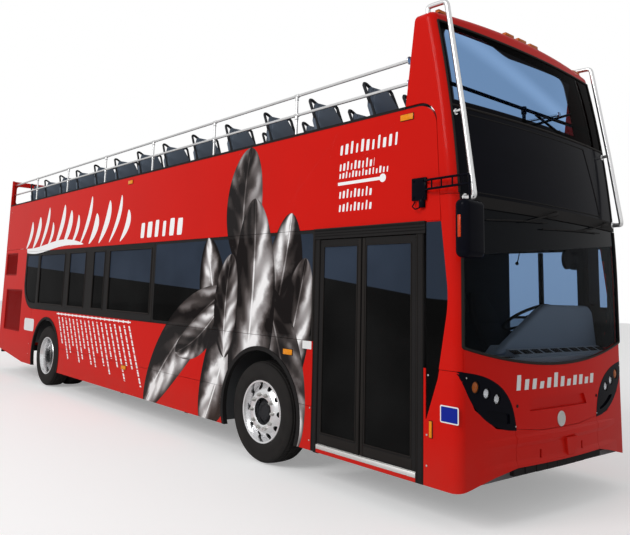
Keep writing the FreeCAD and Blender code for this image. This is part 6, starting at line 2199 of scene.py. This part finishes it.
@dataclass
class FrontTrims:
    """Rubbers, fixings, strokes and boss of the front, and the small things of the cab."""

    screen_half: float = 1.225
    screen_foot: Pair = (1.152, 0.150)
    screen_head: float = 2.345
    upper_heights: Pair = (3.152, 3.884)
    sign_foot: float = 2.450
    sign_frame_box: tuple[Pair, Pair] = ((-1.120, 0.925), (2.470, 3.100))
    sign_slant: float = 0.185
    latches: Pair = (-0.615, 0.640)
    strip: tuple[float, float, int] = (-0.600, 0.150, 9)
    strokes: tuple[float, ...] = (
        0.115, 0.080, 0.080, 0.055, 0.080, 0.115, 0.080, 0.055, 0.080, 0.080, 0.055, 0.080)
    stroke_row: Pair = (-0.590, 0.560)
    stroke_foot: float = 0.966
    boss: Outline = (
        (-0.004, 0.062), (0.005, 0.062), (0.008, 0.057), (0.0065, 0.052), (0.0095, 0.026), (0.0105, 0.0))
    boss_height: float = 0.710
    dash_vents: int = 12
    hood: Outline = (
        (-0.470, 1.205), (-0.330, 1.305), (0.190, 1.585), (0.320, 1.628), (1.040, 1.628), (1.120, 1.575),
        (1.185, 1.250), (1.190, 1.205))
    mirror_middle: Pair = (0.715, 2.0575)
    mirror_half: Pair = (0.070, 0.0925)

    def screen_rubbers(self) -> None:
        """Build the rubber round the lower windscreen's foot and sides, and those of the upper screens."""
        shape = Shape()
        half, (foot, rise) = self.screen_half, self.screen_foot
        route = []
        for k in range(25):
            y = -half + 2 * half * k / 24
            z = foot + rise * (abs(y) / NOSE.chord) ** 2
            route.append((NOSE.front(y, z) - 0.0015, y, z))
        side = NOSE.run((half, route[-1][2]), (half, self.screen_head), 8, -0.0015)[1:]
        other = [(x, -y, z) for x, y, z in reversed(side)]
        shape.bar(other + route + side, 0.0115, 0.03, 2)
        for z in self.upper_heights:
            shape.bar(NOSE.run((-half, z), (half, z), 12, -0.003), 0.010, 0.05, 2)
        for y in (-half, half):
            shape.bar(NOSE.run((y, self.sign_foot), (y, self.upper_heights[1]), 8, -0.003), 0.009, 0.05, 2)
        shape.piece("screen_rubbers", RUBBER, "dark_trim")

    def sign_frame(self) -> None:
        """Build the raised frame round the blank sign."""
        shape = Shape()
        (left, right), (low, high) = self.sign_frame_box
        corners = [(left, low), (right, low), (right - self.sign_slant, high), (left, high)]
        for start, end in zip(corners, corners[1:] + corners[:1]):
            shape.bar(NOSE.run(start, end, 8, -0.004), 0.0055, 0.03, 2)
        shape.piece("sign_frame", TRIM, "dark_trim")

    def lower_front(self) -> None:
        """Build the two latches, the strip under the bumper, the slanting strokes and the blank boss."""
        dark, strokes, boss = Shape(), Shape(), Shape()
        for y in self.latches:
            x = NOSE.front(y, 0.850)
            dark.rod((x - 0.002, y, 0.850), (x + 0.005, y, 0.850), 0.0125, segments=18, bevel=0.002)
        first, pitch, count = self.strip
        for k in range(count):
            y = first + pitch * k
            x = NOSE.front(y, 0.4)
            dark.box((x - 0.040, y - 0.0752, 0.338), (x - 0.001, y + 0.0752, 0.4015), 0.004, 1)
        dark.piece("front_fixings", TRIM, "dark_trim")
        low, (left, right) = self.stroke_foot, self.stroke_row
        for k, tall in enumerate(self.strokes):
            y = left + (right - left) * k / (len(self.strokes) - 1)
            x = NOSE.front(y, 1.0) + 0.0006
            strokes.slab([(x, y - 0.036, low), (x, y + 0.020, low), (x, y + 0.036, low + tall),
                          (x, y - 0.020, low + tall)], (0.0010, 0.0, 0.0))
        strokes.piece("front_strokes", LABEL_WHITE, "frame_steel")
        centre = (NOSE.front(0.0, self.boss_height), 0.0, self.boss_height)
        boss.lathe(self.boss, centre, (1, 0, 0), 48, closed=False)
        boss.piece("blank_boss", NUT_STEEL, "rail_steel")

    def cab_details(self) -> None:
        """Build the row of vents along the dash, its hood, the inside mirror and the bent microphone."""
        shape = Shape()
        for k in range(self.dash_vents):
            y = -0.680 + 0.160 * k
            x, z, tilt = (2.240, 1.2335, 0.013) if y > -0.37 else (2.270, 1.2005, 0.0)
            shape.slab(at((x - 0.026, y - 0.060, z + tilt), (x + 0.026, y - 0.060, z - tilt),
                          (x + 0.026, y + 0.060, z - tilt), (x - 0.026, y + 0.060, z + tilt)),
                       (0.0, 0.0, 0.004), 0.0015, 1)
        shape.piece("dash_vents", TRIM, "dark_trim")
        hood = Shape()
        hood.slab([(station(2.075), y, z) for y, z in self.hood], (0.090, 0.0, 0.0), 0.030, 4)
        # the hood takes the slate painted lighter to stand for light in the shaded cab
        hood.piece("dash_hood", HOOD_PAINTED_LIGHT, "dark_trim")
        mirror = Shape()
        mirror.bar(at((2.060, 0.770, 2.338), (2.110, 0.770, 2.230), (2.130, 0.760, 2.120)), 0.009, 0.03, 2)
        (y, z), (wide, high) = self.mirror_middle, self.mirror_half
        oval = at(*((2.112, y + wide * math.cos(math.tau * k / 32), z + high * math.sin(math.tau * k / 32))
                    for k in range(32)))
        mirror.slab(oval, (0.036, 0.0, 0.0), 0.010, 3)
        mirror.box(*at((2.110, 0.780, 2.035), (2.150, 0.895, 2.110)), 0.018, 3)
        mirror.bar(at((2.060, -0.060, 2.338), (2.110, -0.065, 2.180), (2.140, -0.110, 2.060),
                      (2.145, -0.150, 1.985)), 0.004, 0.05, 1)
        mirror.ball((station(2.145), -0.158, 1.973), 0.015, 14)
        mirror.piece("cab_mirror_and_microphone", TRIM, "dark_trim")

    def build(self) -> None:
        """Build the front's trims."""
        self.screen_rubbers()
        self.sign_frame()
        self.lower_front()
        self.cab_details()


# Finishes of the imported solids


class SolidFinish(Enum):
    """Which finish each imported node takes."""

    PRINTED = (SIDE_PAINT, ("side_lower", "side_upper"))
    RED = (RED_PAINT, ("rear_quarters", "side_vents", "rear_panel", "engine_cover", "front_fascia",
                       "front_bumper", "front_pillars", "front_cowl"))
    BANDS = (BAND_TRIM, ("window_bands",))
    TRIMS = (TRIM, ("body_trims", "rear_bumper", "screen_header", "door_surround", "door_leaf_front",
                    "door_leaf_rear", "mirrors", "wipers", "steering_wheel"))
    # the dashboard takes the slate painted lighter to stand for light in the shaded cab
    DASHES = (DASH_PAINTED_LIGHT, ("dashboard",))
    LININGS = (CAB_LINING, ("cab_partition",))
    GLOSSY = (BLACK_GLOSS, ("sign_panel", "headlamp_masks"))
    SIDES = (SIDE_GLASS, ("side_glass",))
    DOORS = (DOOR_GLASS, ("door_glass_front", "door_glass_rear"))
    SCREENS = (FRONT_GLASS, ("windscreen_lower",))
    TOPS = (TOP_GLASS, ("windscreen_upper",))
    RAILS = (RAIL_STEEL, ("guard_rails", "branch_guards"))
    STEEL = (FRAME_STEEL, ("chassis_frame", "rear_frame", "front_axle", "rear_axle", "knuckle_left",
                           "knuckle_right", "seat_legs"))
    ENGINE = (IRON, ("engine_block",))
    DECKS = (DECK, ("lower_floor", "rear_floor", "upper_floor", "staircase"))
    SEATS = (SEAT_SHELL, ("seat_backs", "seat_cushions"))
    HANDLES = (LOOP_BLACK, ("seat_handles",))
    TYRES = (TYRE, ("front_tyre_left", "front_tyre_right", "rear_tyres_left", "rear_tyres_right"))
    WHEELS = (ALLOY, ("front_rim_left", "front_rim_right", "rear_rims_left", "rear_rims_right"))
    CLEAR = (CLEAR_LENS, ("front_lamps",))
    AMBER = (AMBER_LENS, ("marker_lamps",))


def dress_solids() -> None:
    """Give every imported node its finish."""
    for group in SolidFinish:
        finish, names = group.value
        for name in names:
            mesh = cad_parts[name].data
            mesh.materials.clear()
            mesh.materials.append(finish.material())
            LOG.info("dressed %s as %s", name, finish.name)


def main() -> None:
    """Build the studio and the bus, sub-assembly by sub-assembly."""
    logging.basicConfig(level=logging.INFO, format="%(name)s: %(message)s")
    Studio().build()
    dress_solids()
    for part in (Wheels, UpperDeck, OutsideFittings, FrontFace, Entrance, SideFittings, FrontTrims):
        part().build()


if __name__ == "__main__":
    main()
